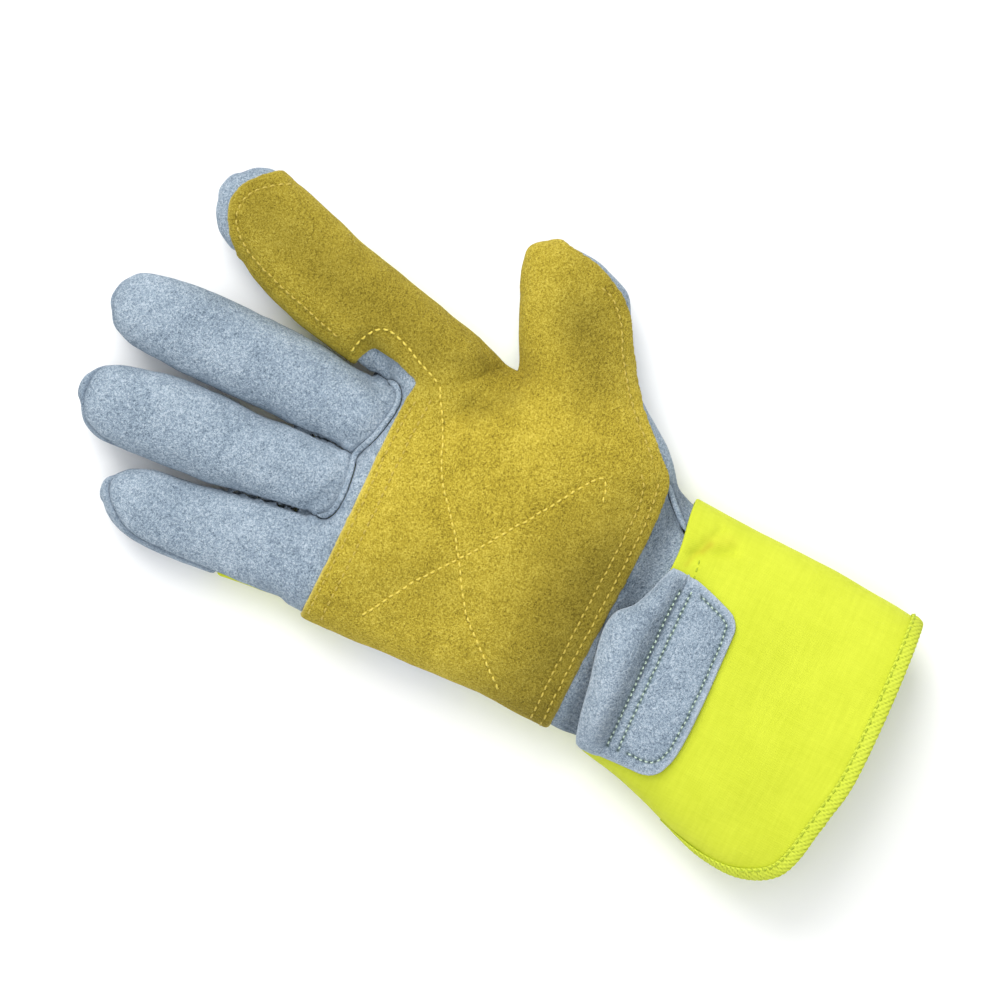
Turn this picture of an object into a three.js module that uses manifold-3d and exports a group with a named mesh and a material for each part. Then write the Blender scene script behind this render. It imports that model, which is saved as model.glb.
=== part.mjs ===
// A right-hand leather work glove with a double palm and an open safety cuff. It lies on its back, palm up.
// Units are millimetres. +X points to the thumb's side, +Y to the fingertips and +Z up, out of the palm.
// The origin is on the surface that the glove lies on, under the middle of its outline.
// The hand form is one hollow shell of a closed palm and five digits. It is cut along its seams into leather
// and fabric pieces. The gold double palm, the knuckle strap, the wrist patch, the cuff and the seam welts
// are solids of their own.

import * as THREE from 'three';
import { mergeVertices } from 'three/addons/utils/BufferGeometryUtils.js';
import Module from 'manifold-3d';

const wasm = await Module();
wasm.setup();

// Thicknesses and gaps

const LEATHER = 1.6; // wall of the hand's split leather and back fabric
const OVERLAY = 1.25; // double palm and knuckle strap
const GAP = 0.3; // clearance between neighbouring pieces along a seam
const LAYER_GAP = 0.45; // clearance between layers, whose facets don't run parallel everywhere
const CUFF_SHEET = 1.3; // stiff cuff fabric
const BINDING_WIDTH = 4.4; // how far the binding reaches in from the cuff's free edge
const WELT_RADIUS = 0.8; // rolled leather welt in a seam
const TINY = 1e-3; // step for directions on the cuff's sheet

// Outline resolution

const RING_POINTS = { outside: 14, inside: 10 }; // points round a section of a digit
const PALM_RING_POINTS = { outside: 24, inside: 18 }; // points round a section of the palm
const ROUNDNESS = 2.35; // superellipse power of every section
const BELLY = 1.12; // how far the underside would bulge before the floor flattens it

// Tables: the first line names the columns, and each following line is one section, fold or outline point

function table(columns, ...rows) {
  const names = columns.split(' ');
  return rows.map((row) => Object.fromEntries(names.map((name, i) => [name, row[i]])));
}

// The palm's sections across the hand: y along the glove, the edge on the little finger's side and on the
// thumb's side, and the lowest and highest point

const PALM = {
  at: [0, 0],
  turn: 0,
  ringPoints: PALM_RING_POINTS,
  rows: table('t left right low high',
    [-68, 57.4, 19.1, 3.3, 30.8],
    [-55, 57.4, 19.6, 3.3, 31.0],
    [-46, 58.0, 22.0, 2.8, 32.4],
    [-38, 57.4, 28.0, 2.2, 33.8],
    [-27, 57.0, 31.0, 1.7, 35.4],
    [-10, 57.4, 32.0, 1.7, 36.0],
    [10, 58.6, 31.8, 1.7, 34.8],
    [26, 59.5, 33.0, 1.7, 33.0],
    [36, 59.5, 32.6, 1.8, 31.0],
    [44, 59.0, 28.6, 2.4, 28.0],
    [49.5, 56.0, 22.0, 4.0, 24.0]),
  end: { t: 51.5, u: -16, z: 14 },
};

// The digits: where the axis starts, its turn from +Y towards the thumb's side, and sections along the axis
// with the reach to the left and right of it and the lowest and highest point. The first section lies inside
// the palm.

const INDEX = {
  at: [22.4, 35],
  turn: 15.4,
  rows: table('t left right low high',
    [-20, 11.0, 11.0, 8.0, 27.0],
    [2, 13.0, 14.0, 2.5, 28.8],
    [15, 13.3, 13.6, 1.8, 27.1],
    [30, 14.2, 13.1, 2.0, 25.5],
    [43, 15.4, 12.9, 2.3, 25.0],
    [56, 14.5, 12.9, 2.9, 25.0],
    [68, 13.0, 13.5, 3.9, 24.6],
    [75.5, 11.8, 13.4, 5.0, 23.6],
    [81, 8.8, 10.6, 6.8, 21.6],
    [84, 4.8, 6.4, 9.2, 19.4]),
  end: { t: 85.2, u: 1, z: 14.4 },
};

const MIDDLE = {
  at: [1.8, 40],
  turn: 0,
  rows: table('t left right low high',
    [-20, 9.5, 9.5, 8.0, 27.0],
    [2, 11.6, 11.6, 2.5, 28.4],
    [15, 12.8, 10.9, 2.0, 26.6],
    [32, 12.5, 12.8, 2.2, 24.6],
    [50, 13.2, 13.2, 3.0, 24.6],
    [68, 13.0, 12.9, 4.1, 24.3],
    [80, 12.6, 11.2, 5.5, 23.4],
    [87, 10.4, 8.9, 7.4, 21.4],
    [91, 6.2, 5.6, 10.0, 18.8]),
  end: { t: 92.2, u: -0.3, z: 14.4 },
};

const RING = {
  at: [-20, 40],
  turn: -6,
  rows: table('t left right low high',
    [-20, 9.0, 9.0, 8.0, 27.0],
    [2, 10.8, 10.2, 2.5, 27.9],
    [15, 11.8, 11.4, 2.1, 26.0],
    [32, 12.7, 11.1, 2.6, 24.8],
    [48, 12.9, 13.0, 3.4, 24.8],
    [65, 12.6, 13.4, 4.6, 24.5],
    [77, 12.0, 12.1, 5.8, 23.7],
    [84.4, 8.8, 9.8, 7.6, 21.6],
    [88.4, 3.6, 6.6, 10.2, 18.8]),
  end: { t: 89.8, u: 2, z: 14.4 },
};

const LITTLE = {
  at: [-44.5, 40],
  turn: -7,
  rows: table('t left right low high',
    [-20, 10.0, 9.0, 8.0, 25.0],
    [2, 13.5, 11.6, 3.0, 26.0],
    [14, 13.6, 13.4, 2.1, 24.2],
    [30, 13.5, 12.5, 2.2, 22.6],
    [44, 12.9, 10.3, 3.0, 22.4],
    [56, 11.7, 10.4, 4.4, 22.0],
    [64.4, 8.6, 8.6, 6.2, 20.2],
    [69, 4.2, 5.0, 9.0, 17.6]),
  end: { t: 70.9, u: 0.8, z: 13.2 },
};

const THUMB = {
  at: [20, -12],
  turn: 65,
  slant: { share: 0.42, from: 30, to: 45 }, // the blunt tip leans back on the outer side
  rows: table('t left right low high',
    [-18, 10.0, 18.0, 8.0, 28.0],
    [-8, 15.6, 28.2, 3.0, 33.6],
    [-1, 16.6, 27.2, 2.4, 33.8],
    [7, 17.0, 23.6, 2.2, 33.0],
    [15, 16.9, 19.8, 2.4, 31.4],
    [28, 16.0, 16.9, 3.0, 28.8],
    [43, 15.5, 16.4, 4.4, 26.8],
    [52, 14.2, 15.0, 6.0, 25.0],
    [56.6, 9.6, 10.2, 8.4, 22.4]),
  end: { t: 58.6, u: 0, z: 15.4 },
};

// The cuff's sections, and gap, half the width of the slit on the little finger's side at that section

const CUFF = {
  rows: table('t left right low high gap',
    [-53.5, 60.4, 22.8, 1.2, 33.6, 0.3],
    [-66, 63.2, 22.0, 1.2, 33.7, 0.3],
    [-78, 66.8, 21.5, 1.2, 34.4, 0.9],
    [-84, 69.0, 21.2, 1.2, 35.0, 1.9],
    [-92, 71.4, 20.8, 1.2, 36.0, 2.4],
    [-101, 73.6, 20.6, 1.2, 37.3, 3.3],
    [-109, 74.6, 20.2, 1.2, 38.4, 4.9],
    [-116, 74.8, 19.9, 1.2, 39.3, 8.2],
    [-121.5, 74.8, 19.4, 1.2, 39.9, 11.9],
    [-125, 74.8, 18.8, 1.2, 40.2, 15.9],
    [-127.5, 74.8, 18.0, 1.2, 40.4, 18.3]),
  points: 24,
  bow: 1.8, // how much further the middle of the mouth reaches than its ends
  rounding: { depth: 2.3, at: -0.47, width: 0.22 }, // the mouth draws back before the slit's corners
  firstBoundRow: 3, // the binding starts at this row
};

// Dents and folds pressed into the palm's side: a line from one point to another, its width and its depth

const DENTS = table('x0 y0 x1 y1 width depth',
  [34, 13, 10, 24, 5.5, 4.0], // the fold from the thumb's crotch across the index finger's root
  [-30, 4, -14, -14, 20, 2.6], // the hollow of the palm
  [-31, 47, -11, 46, 3.2, 2.2], // under the ring finger's root seam
  [-9, 45, 12, 42, 3.2, 2.2], // under the middle finger's root seam
  [15, 50, 19, 56, 4.5, 9.0], // the web between the index and the middle finger
  [-28, 62, -26, 58, 6.0, 1.5],
  [-8, 78, -8, 74, 6.0, 0.9],
  [-55, 64, -53, 60, 6.0, 1.0],
  [36, 90, 46, 84, 7.0, 0.8]);

// Seams in plan, as lines of points

const RING_ROOT = [[-32.4, 50], [-31.6, 46.8], [-28, 44.6], [-22, 44.3], [-15, 45.3], [-10.6, 46.4]];
const MIDDLE_ROOT = [[-10.6, 46.4], [-3, 43.3], [5, 41.7], [10, 41.8], [13.2, 44.2], [13.6, 50]];
const THUMB_ROOT = [
  [37, 17], [27, 5], [22, -12], [25, -28], [24.4, -36.6], [21, -42.2], [16, -48.2], [11, -54.5], [10, -72],
];
const LITTLE_RING_CREASE = [[-38, 79], [-39.4, 92], [-42, 105], [-46.5, 138]];
const RING_MIDDLE_CREASE = [[-11.7, 79.5], [-12.2, 100], [-12.6, 138]];
const FINGERTIP_SEAMS = [
  { name: 'little_fingertip_back',
    line: [[-68, 67], [-60, 68.5], [-48, 69.5], [-36.2, 67.6], ...LITTLE_RING_CREASE] },
  { name: 'ring_fingertip_back',
    line: [...LITTLE_RING_CREASE.toReversed(), [-30, 80.5], [-20, 80.5], ...RING_MIDDLE_CREASE] },
  { name: 'middle_fingertip_back',
    line: [...RING_MIDDLE_CREASE.slice(1).reverse(), [-11.8, 83], [-6, 84.5], [8, 84.5], [19, 82]] },
  { name: 'index_fingertip_back', line: [[18, 82.7], [24, 83], [38, 79.5], [56, 72]] },
];

// Where the palm's pieces meet the back's pieces: height of the side seam along the glove

const SIDE_SEAM = table('y z', [-80, 15.5], [-40, 15.5], [20, 14.5], [60, 13.2], [100, 13.6], [140, 14.2]);

// The gold double palm in plan, counterclockwise. Where its edge is a side seam, the outline runs past the
// form.

const DOUBLE_PALM = [
  [-66, 40.2], [-66, -41.6], [-40, -41.6], [-18, -42.5], [2, -43.1], [12, -42.9], [21, -41.8], [24.6, -40.2],
  [28.3, -36.2], [34, -30], [38.6, -25], [45.4, -19.4], [53.2, -14.2], [62, -9.4], [67, -4.4], [69.4, 0.8],
  [71.6, 6], [90, 10], [90, 30], [40, 34], [62, 98], [57.4, 101.4], [52.4, 107.4], [47.2, 111.8],
  [41.6, 113.2], [37, 111.4], [32.6, 108.4], [28.6, 104.6], [25.6, 100.6], [22.6, 95], [19, 88], [11, 58],
  [14.4, 58.4], [18, 57.2], [21.4, 54.8], [20.4, 48], [17, 38.6], [10, 39.4], [0, 39.8], [-20, 39.7],
  [-40, 39.6],
];
const DOUBLE_PALM_WRAP = 0.6; // how far above the side seam the double palm ends

// The knuckle strap across the back, in plan

const KNUCKLE_STRAP = { from: -12, to: 23, left: -70, right: 26, height: 14 };

// The wrist patch: columns across it, with the y of its two edges and how far its upper part puffs up

const WRIST_PATCH = {
  columns: table('x top bottom puff',
    [-57.4, -54.6, -70.6, 0.3],
    [-56.2, -52, -75, 0.9],
    [-54, -50.4, -77.8, 2.0],
    [-48, -48.8, -79.7, 4.4],
    [-40, -47.2, -80, 5.0],
    [-32, -45.2, -79.9, 5.2],
    [-24, -44, -79.6, 5.0],
    [-20, -44.6, -79.4, 4.6],
    [-15, -49, -79.2, 4.0],
    [-9, -51.6, -78.9, 3.0],
    [-5, -52.8, -76.6, 2.2],
    [-2, -53.8, -69, 1.4],
    [0, -54.6, -62, 0.8]),
  rows: 8,
  seamY: -58.6, // the stitch row that holds the patch down; above it the leather stands clear
  thickness: 1.3,
};

// Welts laid in the visible seams, in plan

const FINGER_WELT = [[-31.9, 48.4], [-31.2, 46.2], [-28, 44.6], [-22, 44.3], [-15, 45.3], [-10.6, 46.2],
  [-3, 43.3], [5, 41.7], [10, 41.8], [13, 44], [13.5, 47]];
const THUMB_WELT = [[19.4, -44.2], [16, -48.2], [12.8, -52.2]];

// Materials

const GREY_SUEDE = new THREE.MeshStandardMaterial({ color: 0xa5b6c8, roughness: 0.95, metalness: 0 });
const GOLD_SUEDE = new THREE.MeshStandardMaterial({ color: 0xbba83a, roughness: 0.95, metalness: 0 });
const YELLOW_FABRIC = new THREE.MeshStandardMaterial({ color: 0xe7f447, roughness: 0.75, metalness: 0 });
const YELLOW_TAPE = new THREE.MeshStandardMaterial({ color: 0xdaeb4b, roughness: 0.85, metalness: 0 });

// Solids

function toSolid(geometry) {
  const bare = new THREE.BufferGeometry();
  bare.setAttribute('position', geometry.getAttribute('position'));
  bare.setIndex(geometry.getIndex());
  const merged = mergeVertices(bare, 1e-4);
  return new wasm.Manifold(new wasm.Mesh({
    numProp: 3,
    vertProperties: merged.attributes.position.array,
    triVerts: new Uint32Array(merged.index.array),
  }));
}

function toMesh(name, solid, material) {
  const { numProp, vertProperties, triVerts } = solid.getMesh();
  const positions = new Float32Array((vertProperties.length / numProp) * 3);
  for (let i = 0; i < positions.length / 3; i += 1) {
    positions.set(vertProperties.subarray(i * numProp, i * numProp + 3), i * 3);
  }
  const geometry = new THREE.BufferGeometry();
  geometry.setAttribute('position', new THREE.BufferAttribute(positions, 3));
  geometry.setIndex(new THREE.BufferAttribute(triVerts, 1));
  geometry.computeVertexNormals();
  const mesh = new THREE.Mesh(geometry, material);
  mesh.name = name;
  return mesh;
}

function largest(solid) {
  return solid.decompose().reduce((best, body) => (body.volume() > best.volume() ? body : best));
}

// A closed solid from rings of the same number of points. Both ends are closed by fans round a middle point.
function loft(rings, firstMiddle, lastMiddle) {
  const count = rings[0].length;
  const positions = rings.flat().concat([firstMiddle, lastMiddle]).flatMap((p) => [p.x, p.y, p.z]);
  const first = rings.length * count;
  const faces = [];
  for (let k = 0; k < count; k += 1) {
    const next = (k + 1) % count;
    faces.push(first, next, k);
    faces.push(first + 1, first - count + k, first - count + next);
    for (let r = 0; r + 1 < rings.length; r += 1) {
      const a = r * count + k;
      const b = r * count + next;
      faces.push(a, b, b + count, a, b + count, a + count);
    }
  }
  const geometry = new THREE.BufferGeometry();
  geometry.setAttribute('position', new THREE.Float32BufferAttribute(positions, 3));
  geometry.setIndex(faces);
  const solid = toSolid(geometry);
  if (solid.volume() > 0) return solid;
  geometry.setIndex(faces.reverse());
  return toSolid(geometry);
}

// A closed slab between two grids of points of the same size, grid[row][column]
function slab(under, over) {
  const rows = under.length;
  const columns = under[0].length;
  const at = (side, r, c) => (side * rows + r) * columns + c;
  const positions = [...under.flat(), ...over.flat()].flatMap((p) => [p.x, p.y, p.z]);
  const faces = [];
  const quad = (a, b, c, d) => faces.push(a, b, c, a, c, d);
  // The diagonals lean the other way in the first half of the columns, so that both ends are mirror images
  const cell = (column, a, b, c, d) => (2 * column < columns - 1 ? quad(b, c, d, a) : quad(a, b, c, d));
  for (let r = 0; r + 1 < rows; r += 1) {
    for (let c = 0; c + 1 < columns; c += 1) {
      cell(c, at(0, r, c), at(0, r + 1, c), at(0, r + 1, c + 1), at(0, r, c + 1));
      cell(c, at(1, r, c), at(1, r, c + 1), at(1, r + 1, c + 1), at(1, r + 1, c));
    }
  }
  for (let r = 0; r + 1 < rows; r += 1) {
    quad(at(0, r, 0), at(1, r, 0), at(1, r + 1, 0), at(0, r + 1, 0));
    quad(at(0, r + 1, columns - 1), at(1, r + 1, columns - 1), at(1, r, columns - 1), at(0, r, columns - 1));
  }
  for (let c = 0; c + 1 < columns; c += 1) {
    quad(at(0, 0, c + 1), at(1, 0, c + 1), at(1, 0, c), at(0, 0, c));
    quad(at(0, rows - 1, c), at(1, rows - 1, c), at(1, rows - 1, c + 1), at(0, rows - 1, c + 1));
  }
  const geometry = new THREE.BufferGeometry();
  geometry.setAttribute('position', new THREE.Float32BufferAttribute(positions, 3));
  geometry.setIndex(faces);
  const solid = toSolid(geometry);
  if (solid.volume() > 0) return solid;
  geometry.setIndex(faces.reverse());
  return toSolid(geometry);
}

// Cutters reach past the whole glove
const CUTTER = { low: -10, high: 70, left: -95, right: 95 };

// A prism with an outline in plan, from one height to another
function planPrism(points, low = CUTTER.low, high = CUTTER.high) {
  const shape = new THREE.Shape(points.map(([x, y]) => new THREE.Vector2(x, y)));
  const geometry = new THREE.ExtrudeGeometry(shape, { depth: high - low, bevelEnabled: false });
  geometry.translate(0, 0, low);
  return toSolid(geometry);
}

// A prism with an outline in side view, y and z, from one x to another
function sidePrism(points, left = CUTTER.left, right = CUTTER.right) {
  const shape = new THREE.Shape(points.map(([y, z]) => new THREE.Vector2(y, z)));
  const geometry = new THREE.ExtrudeGeometry(shape, { depth: right - left, bevelEnabled: false });
  geometry.translate(0, 0, left);
  const yzx = new THREE.Matrix4().makeBasis(
    new THREE.Vector3(0, 1, 0), new THREE.Vector3(0, 0, 1), new THREE.Vector3(1, 0, 0));
  geometry.applyMatrix4(yzx);
  return toSolid(geometry);
}

// A thin upright wall along a line in plan, which parts two pieces by one gap
function kerf(line, width = GAP) {
  const walls = line.slice(1).map((end, i) => {
    const start = line[i];
    const [dx, dy] = [end[0] - start[0], end[1] - start[1]];
    const share = width / 2 / Math.hypot(dx, dy);
    const [ax, ay] = [dx * share, dy * share];
    return planPrism([
      [start[0] - ax + ay, start[1] - ay - ax], [end[0] + ax + ay, end[1] + ay - ax],
      [end[0] + ax - ay, end[1] + ay + ax], [start[0] - ax - ay, start[1] - ay + ax]]);
  });
  return walls.reduce((all, wall) => all.add(wall));
}

// The hand form

const power = (value, exponent) => Math.sign(value) * Math.abs(value) ** exponent;

// The depth of all dents at a point in plan
function dentAt(x, y) {
  return DENTS.reduce((sum, { x0, y0, x1, y1, width, depth }) => {
    const along = THREE.MathUtils.clamp(
      ((x - x0) * (x1 - x0) + (y - y0) * (y1 - y0)) / ((x1 - x0) ** 2 + (y1 - y0) ** 2), 0, 1);
    const away = Math.hypot(x - x0 - along * (x1 - x0), y - y0 - along * (y1 - y0));
    return sum + depth * Math.exp(-((away / width) ** 2));
  }, 0);
}

// A palm or digit as a solid, grown outwards by an offset. The root reaches back by rootReach.
function limb({ at, turn, slant, rows, end, ringPoints = RING_POINTS }, offset, rootReach = 0) {
  const points = offset < 0 ? ringPoints.inside : ringPoints.outside;
  const heading = THREE.MathUtils.degToRad(turn);
  const place = (t, u, z) => {
    const lean = slant ? slant.share * THREE.MathUtils.smoothstep(t, slant.from, slant.to) : 0;
    const along = t - lean * u;
    return new THREE.Vector3(
      at[0] + along * Math.sin(heading) + u * Math.cos(heading),
      at[1] + along * Math.cos(heading) - u * Math.sin(heading), z);
  };
  const half = (row) => (row.left + row.right) / 2;
  const tip = { t: end.t, left: 0, right: 0 };
  const rings = rows.map((row, i) => {
    const before = rows[Math.max(i - 1, 0)];
    const after = rows[i + 1] ?? tip;
    const slope = i < 2 ? 0 : Math.max(0, (half(before) - half(after)) / (after.t - before.t));
    const steep = Math.hypot(1, slope);
    const across = half(row) + offset / steep;
    const t = row.t + (offset * slope) / steep - (i === 0 ? rootReach : 0);
    const tall = (row.high - row.low) / 2 + offset / steep;
    const middleU = (row.right - row.left) / 2;
    const middleZ = (row.high + row.low) / 2;
    const ring = [];
    for (let k = 0; k < points; k += 1) {
      const angle = (2 * Math.PI * k) / points;
      const c = power(Math.cos(angle), 2 / ROUNDNESS);
      const s = power(Math.sin(angle), 2 / ROUNDNESS);
      const p = place(t, middleU + across * c, middleZ + tall * s * (s < 0 ? BELLY : 1));
      p.z = Math.max(p.z - Math.max(0, s) * dentAt(p.x, p.y), row.low - offset);
      ring.push(p);
    }
    return ring;
  });
  const root = rows[0];
  const rootMiddle = place(root.t - rootReach, (root.right - root.left) / 2, (root.low + root.high) / 2);
  return loft(rings, rootMiddle, place(end.t + offset, end.u, end.z));
}

function handForm(offset, wristReach = 0) {
  return [INDEX, MIDDLE, RING, LITTLE, THUMB].reduce(
    (form, digit) => form.add(limb(digit, offset)), limb(PALM, offset, wristReach));
}

const WRIST_REACH = 20; // how far the hollow runs out of the wrist's end, so that it is open
const skin = handForm(0);
const shell = skin.subtract(handForm(-LEATHER, WRIST_REACH));

// Parting into palm side and back

function aboveSideSeam(lift) {
  const line = SIDE_SEAM.map(({ y, z }) => [y, z + lift]);
  return sidePrism([...line, [140, 80], [-80, 80]]);
}

const palmSide = shell.intersect(aboveSideSeam(GAP / 2));
const backSide = shell.subtract(aboveSideSeam(-GAP / 2));
const thumbSide = planPrism([...THUMB_ROOT, [95, -72], [95, 40], [44, 30]].reverse());
const overThumbRoot = kerf(THUMB_ROOT);

// Palm side: the middle and ring fingers' fronts, then the palm with the index and little fingers' fronts

const RING_SIDES = [
  [-10.9, 60], [-11.6, 70], [-11.7, 80], [-12.2, 100], [-12.6, 140], [-47, 140], [-42, 105], [-39.4, 92],
  [-38, 80], [-35.9, 70], [-34, 60], RING_ROOT[0],
];
const MIDDLE_SIDES = [
  [14.1, 60], [15.9, 70], [17.5, 80], [20, 100], [22, 140], [-12.6, 140], [-12.2, 100], [-11.7, 80],
  [-11.6, 70], [-10.9, 60], MIDDLE_ROOT[0],
];
const ringRegion = planPrism([...RING_ROOT, ...RING_SIDES.slice(0, -1)]);
const middleRegion = planPrism([...MIDDLE_ROOT, ...MIDDLE_SIDES.slice(0, -1)]);
const partedPalmSide = palmSide
  .subtract(kerf([...RING_ROOT, ...RING_SIDES]))
  .subtract(kerf([...MIDDLE_ROOT, ...MIDDLE_SIDES]));
const ringFront = largest(partedPalmSide.intersect(ringRegion));
const middleFront = largest(partedPalmSide.intersect(middleRegion));
const palmLeather = largest(
  partedPalmSide.subtract(ringRegion).subtract(middleRegion).subtract(overThumbRoot).subtract(thumbSide));
const thumbLeather = largest(shell.subtract(overThumbRoot).intersect(thumbSide));

// Back: the leather fingertips, then the fabric

function beyond(line) {
  return planPrism([...line, [line.at(-1)[0], 140], [line[0][0], 140]]);
}

let backFabric = backSide.subtract(overThumbRoot).subtract(thumbSide);
const fingertips = FINGERTIP_SEAMS.map(({ name, line }) => {
  const parted = backFabric.subtract(kerf(line));
  const tip = largest(parted.intersect(beyond(line)));
  backFabric = parted.subtract(beyond(line));
  return toMesh(name, tip, GREY_SUEDE);
});
backFabric = largest(backFabric);

// Overlays

function overlay(limbs) {
  const outside = limbs.map((one) => limb(one, LAYER_GAP + OVERLAY)).reduce((all, one) => all.add(one));
  return outside.subtract(handForm(LAYER_GAP));
}

const doublePalm = largest(
  overlay([PALM, INDEX, THUMB]).intersect(aboveSideSeam(DOUBLE_PALM_WRAP)).intersect(planPrism(DOUBLE_PALM)));
const { from, to, left, right, height } = KNUCKLE_STRAP;
const strapOutline = [[left, from], [right, from], [right, to], [left, to]];
const knuckleStrap = largest(overlay([PALM]).intersect(planPrism(strapOutline, CUTTER.low, height)));

// The cuff: a sheet round the wrist, parted by the slit on the little finger's side. A place on it is given
// by t along the glove, by an angle from the thumb's side over the palm's side, and by its lift, which is how
// far it stands out of the sheet's middle.

function rowAt(rows, t) {
  const next = rows.findIndex((row) => row.t <= t);
  const i = next < 0 ? rows.length - 1 : Math.max(next, 1);
  const [a, b] = [rows[i - 1], rows[i]];
  const share = (t - a.t) / (b.t - a.t);
  const names = Object.keys(a);
  return Object.fromEntries(names.map((name) => [name, THREE.MathUtils.lerp(a[name], b[name], share)]));
}

function middleOfSheet(rows, t, angle) {
  const row = rowAt(rows, t);
  const inset = CUFF_SHEET / 2;
  const across = (row.left + row.right) / 2 - inset;
  const tall = (row.high - row.low) / 2 - inset;
  const s = power(Math.sin(angle), 2 / ROUNDNESS);
  const share = power(Math.cos(angle), 2 / ROUNDNESS);
  const z = Math.max((row.high + row.low) / 2 + tall * s * (s < 0 ? BELLY : 1), row.low + inset);
  const { depth, at, width } = CUFF.rounding;
  const reach = CUFF.bow * (1 - share ** 2) - depth * Math.exp(-(((share - at) / width) ** 2));
  const bow = THREE.MathUtils.smoothstep(-t, 100, 127) * reach;
  return new THREE.Vector3((row.right - row.left) / 2 + across * share, t - bow, z);
}

function onSheet(rows, t, angle, lift) {
  const ahead = middleOfSheet(rows, t, angle + TINY).sub(middleOfSheet(rows, t, angle - TINY));
  const along = middleOfSheet(rows, t - TINY, angle).sub(middleOfSheet(rows, t + TINY, angle));
  const outwards = ahead.cross(along).normalize();
  return { point: middleOfSheet(rows, t, angle).addScaledVector(outwards, lift), outwards };
}

function slitAngle(row) {
  const share = row.gap / ((row.high - row.low) / 2);
  return Math.PI - Math.asin(share ** (ROUNDNESS / 2));
}

// The sheet's sections at a lift, which reach past its free edges by a distance
function cuffRings(lift, past = 0) {
  return CUFF.rows.map((row, i) => {
    const t = i + 1 < CUFF.rows.length ? row.t : row.t - past;
    const edge = slitAngle(row);
    const [a, b] = [edge + TINY, edge - TINY].map((angle) => middleOfSheet(CUFF.rows, t, angle));
    const reach = edge + (past * 2 * TINY) / a.distanceTo(b);
    return Array.from({ length: CUFF.points }, (_, k) => {
      const share = 1 - (2 * k) / (CUFF.points - 1);
      return onSheet(CUFF.rows, t, share * (Math.abs(share) < 1 ? edge : reach), lift).point;
    });
  });
}

const cuff = slab(cuffRings(-CUFF_SHEET / 2), cuffRings(CUFF_SHEET / 2));

// The binding: a tape folded over the cuff's free edge, from the slit's top round the mouth to its bottom

const TAPE = CUFF.rows[0].low + CUFF_SHEET / 2; // half the width over both legs: the tape lies on the floor
const TAPE_FOLD = 1.2; // how far the tape's fold stands past the sheet's free edge
const TAPE_BEND = 0.5; // where its two legs start to bend into the fold
const EDGE_GAP = 0.6; // clearance past the free edge, part of which is lost where the edge runs at a slant
const BINDING_SECTION = table('reach side',
  [BINDING_WIDTH - TAPE_FOLD, TAPE],
  [-TAPE_BEND, TAPE],
  [-TAPE_FOLD, 0],
  [-TAPE_BEND, -TAPE],
  [BINDING_WIDTH - TAPE_FOLD, -TAPE]);

// The free edge's places, from the slit's binding on the palm's side to that on the back
function freeEdge() {
  const slit = CUFF.rows.slice(CUFF.firstBoundRow).map((row) => ({ t: row.t, angle: slitAngle(row) }));
  const { t, angle } = slit.at(-1);
  const last = CUFF.points - 1;
  const mouth = Array.from(
    { length: CUFF.points - 2 }, (_, k) => ({ t, angle: angle * (1 - (2 * (k + 1)) / last) }));
  const other = slit.map((place) => ({ t: place.t, angle: -place.angle })).reverse();
  return [...slit, ...mouth, ...other];
}

// The place that lies a reach away from another along the sheet, in a direction that touches the sheet there
function reachedOn(t, angle, direction, reach, lift) {
  const byT = middleOfSheet(CUFF.rows, t + TINY, angle).sub(middleOfSheet(CUFF.rows, t - TINY, angle));
  const byAngle = middleOfSheet(CUFF.rows, t, angle + TINY).sub(middleOfSheet(CUFF.rows, t, angle - TINY));
  const [tt, ta, aa] = [byT.dot(byT), byT.dot(byAngle), byAngle.dot(byAngle)];
  const [dt, da] = [byT.dot(direction), byAngle.dot(direction)];
  const scale = (2 * TINY * reach) / (tt * aa - ta * ta);
  return onSheet(CUFF.rows, t + (dt * aa - da * ta) * scale, angle + (da * tt - dt * ta) * scale, lift).point;
}

function bindingRings() {
  const places = freeEdge();
  const points = places.map(({ t, angle }) => onSheet(CUFF.rows, t, angle, 0).point);
  return places.map(({ t, angle }, i) => {
    const { point, outwards } = onSheet(CUFF.rows, t, angle, 0);
    const ahead = (points[i + 1] ?? points[i]).clone().sub(point).normalize();
    const behind = point.clone().sub(points[i - 1] ?? point).normalize();
    const inwards = new THREE.Vector3().crossVectors(outwards, ahead.add(behind)).normalize();
    return BINDING_SECTION.map(({ reach, side }) => {
      const q = reach > 0
        ? reachedOn(t, angle, inwards, reach, side)
        : point.clone().addScaledVector(inwards, reach).addScaledVector(outwards, side);
      return q.setZ(Math.max(q.z, 0));
    });
  });
}

function middleOf(ring) {
  return ring.reduce((sum, p) => sum.add(p), new THREE.Vector3()).divideScalar(ring.length);
}

const rings = bindingRings();
const groove = CUFF_SHEET / 2 + LAYER_GAP;
const binding = loft(rings, middleOf(rings[0]), middleOf(rings.at(-1)))
  .subtract(slab(cuffRings(-groove, EDGE_GAP), cuffRings(groove, EDGE_GAP)));

// The wrist patch: a sheet on the cuff, sewn down along its lower rows, with its upper part curling to the
// palm. It lies on the cuff, and above the cuff's edge on the palm's leather.

const PATCH_GROUND = [...table('t left right low high gap', [-42, 59.4, 23, 1.2, 33.6, 0.3]), ...CUFF.rows];

function patchPoint(x, t, lift) {
  const row = rowAt(PATCH_GROUND, t);
  const across = (row.left + row.right - CUFF_SHEET) / 2;
  const share = THREE.MathUtils.clamp((x - (row.right - row.left) / 2) / across, -1, 1);
  return onSheet(PATCH_GROUND, t, Math.acos(power(share, ROUNDNESS / 2)), lift).point;
}

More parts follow.
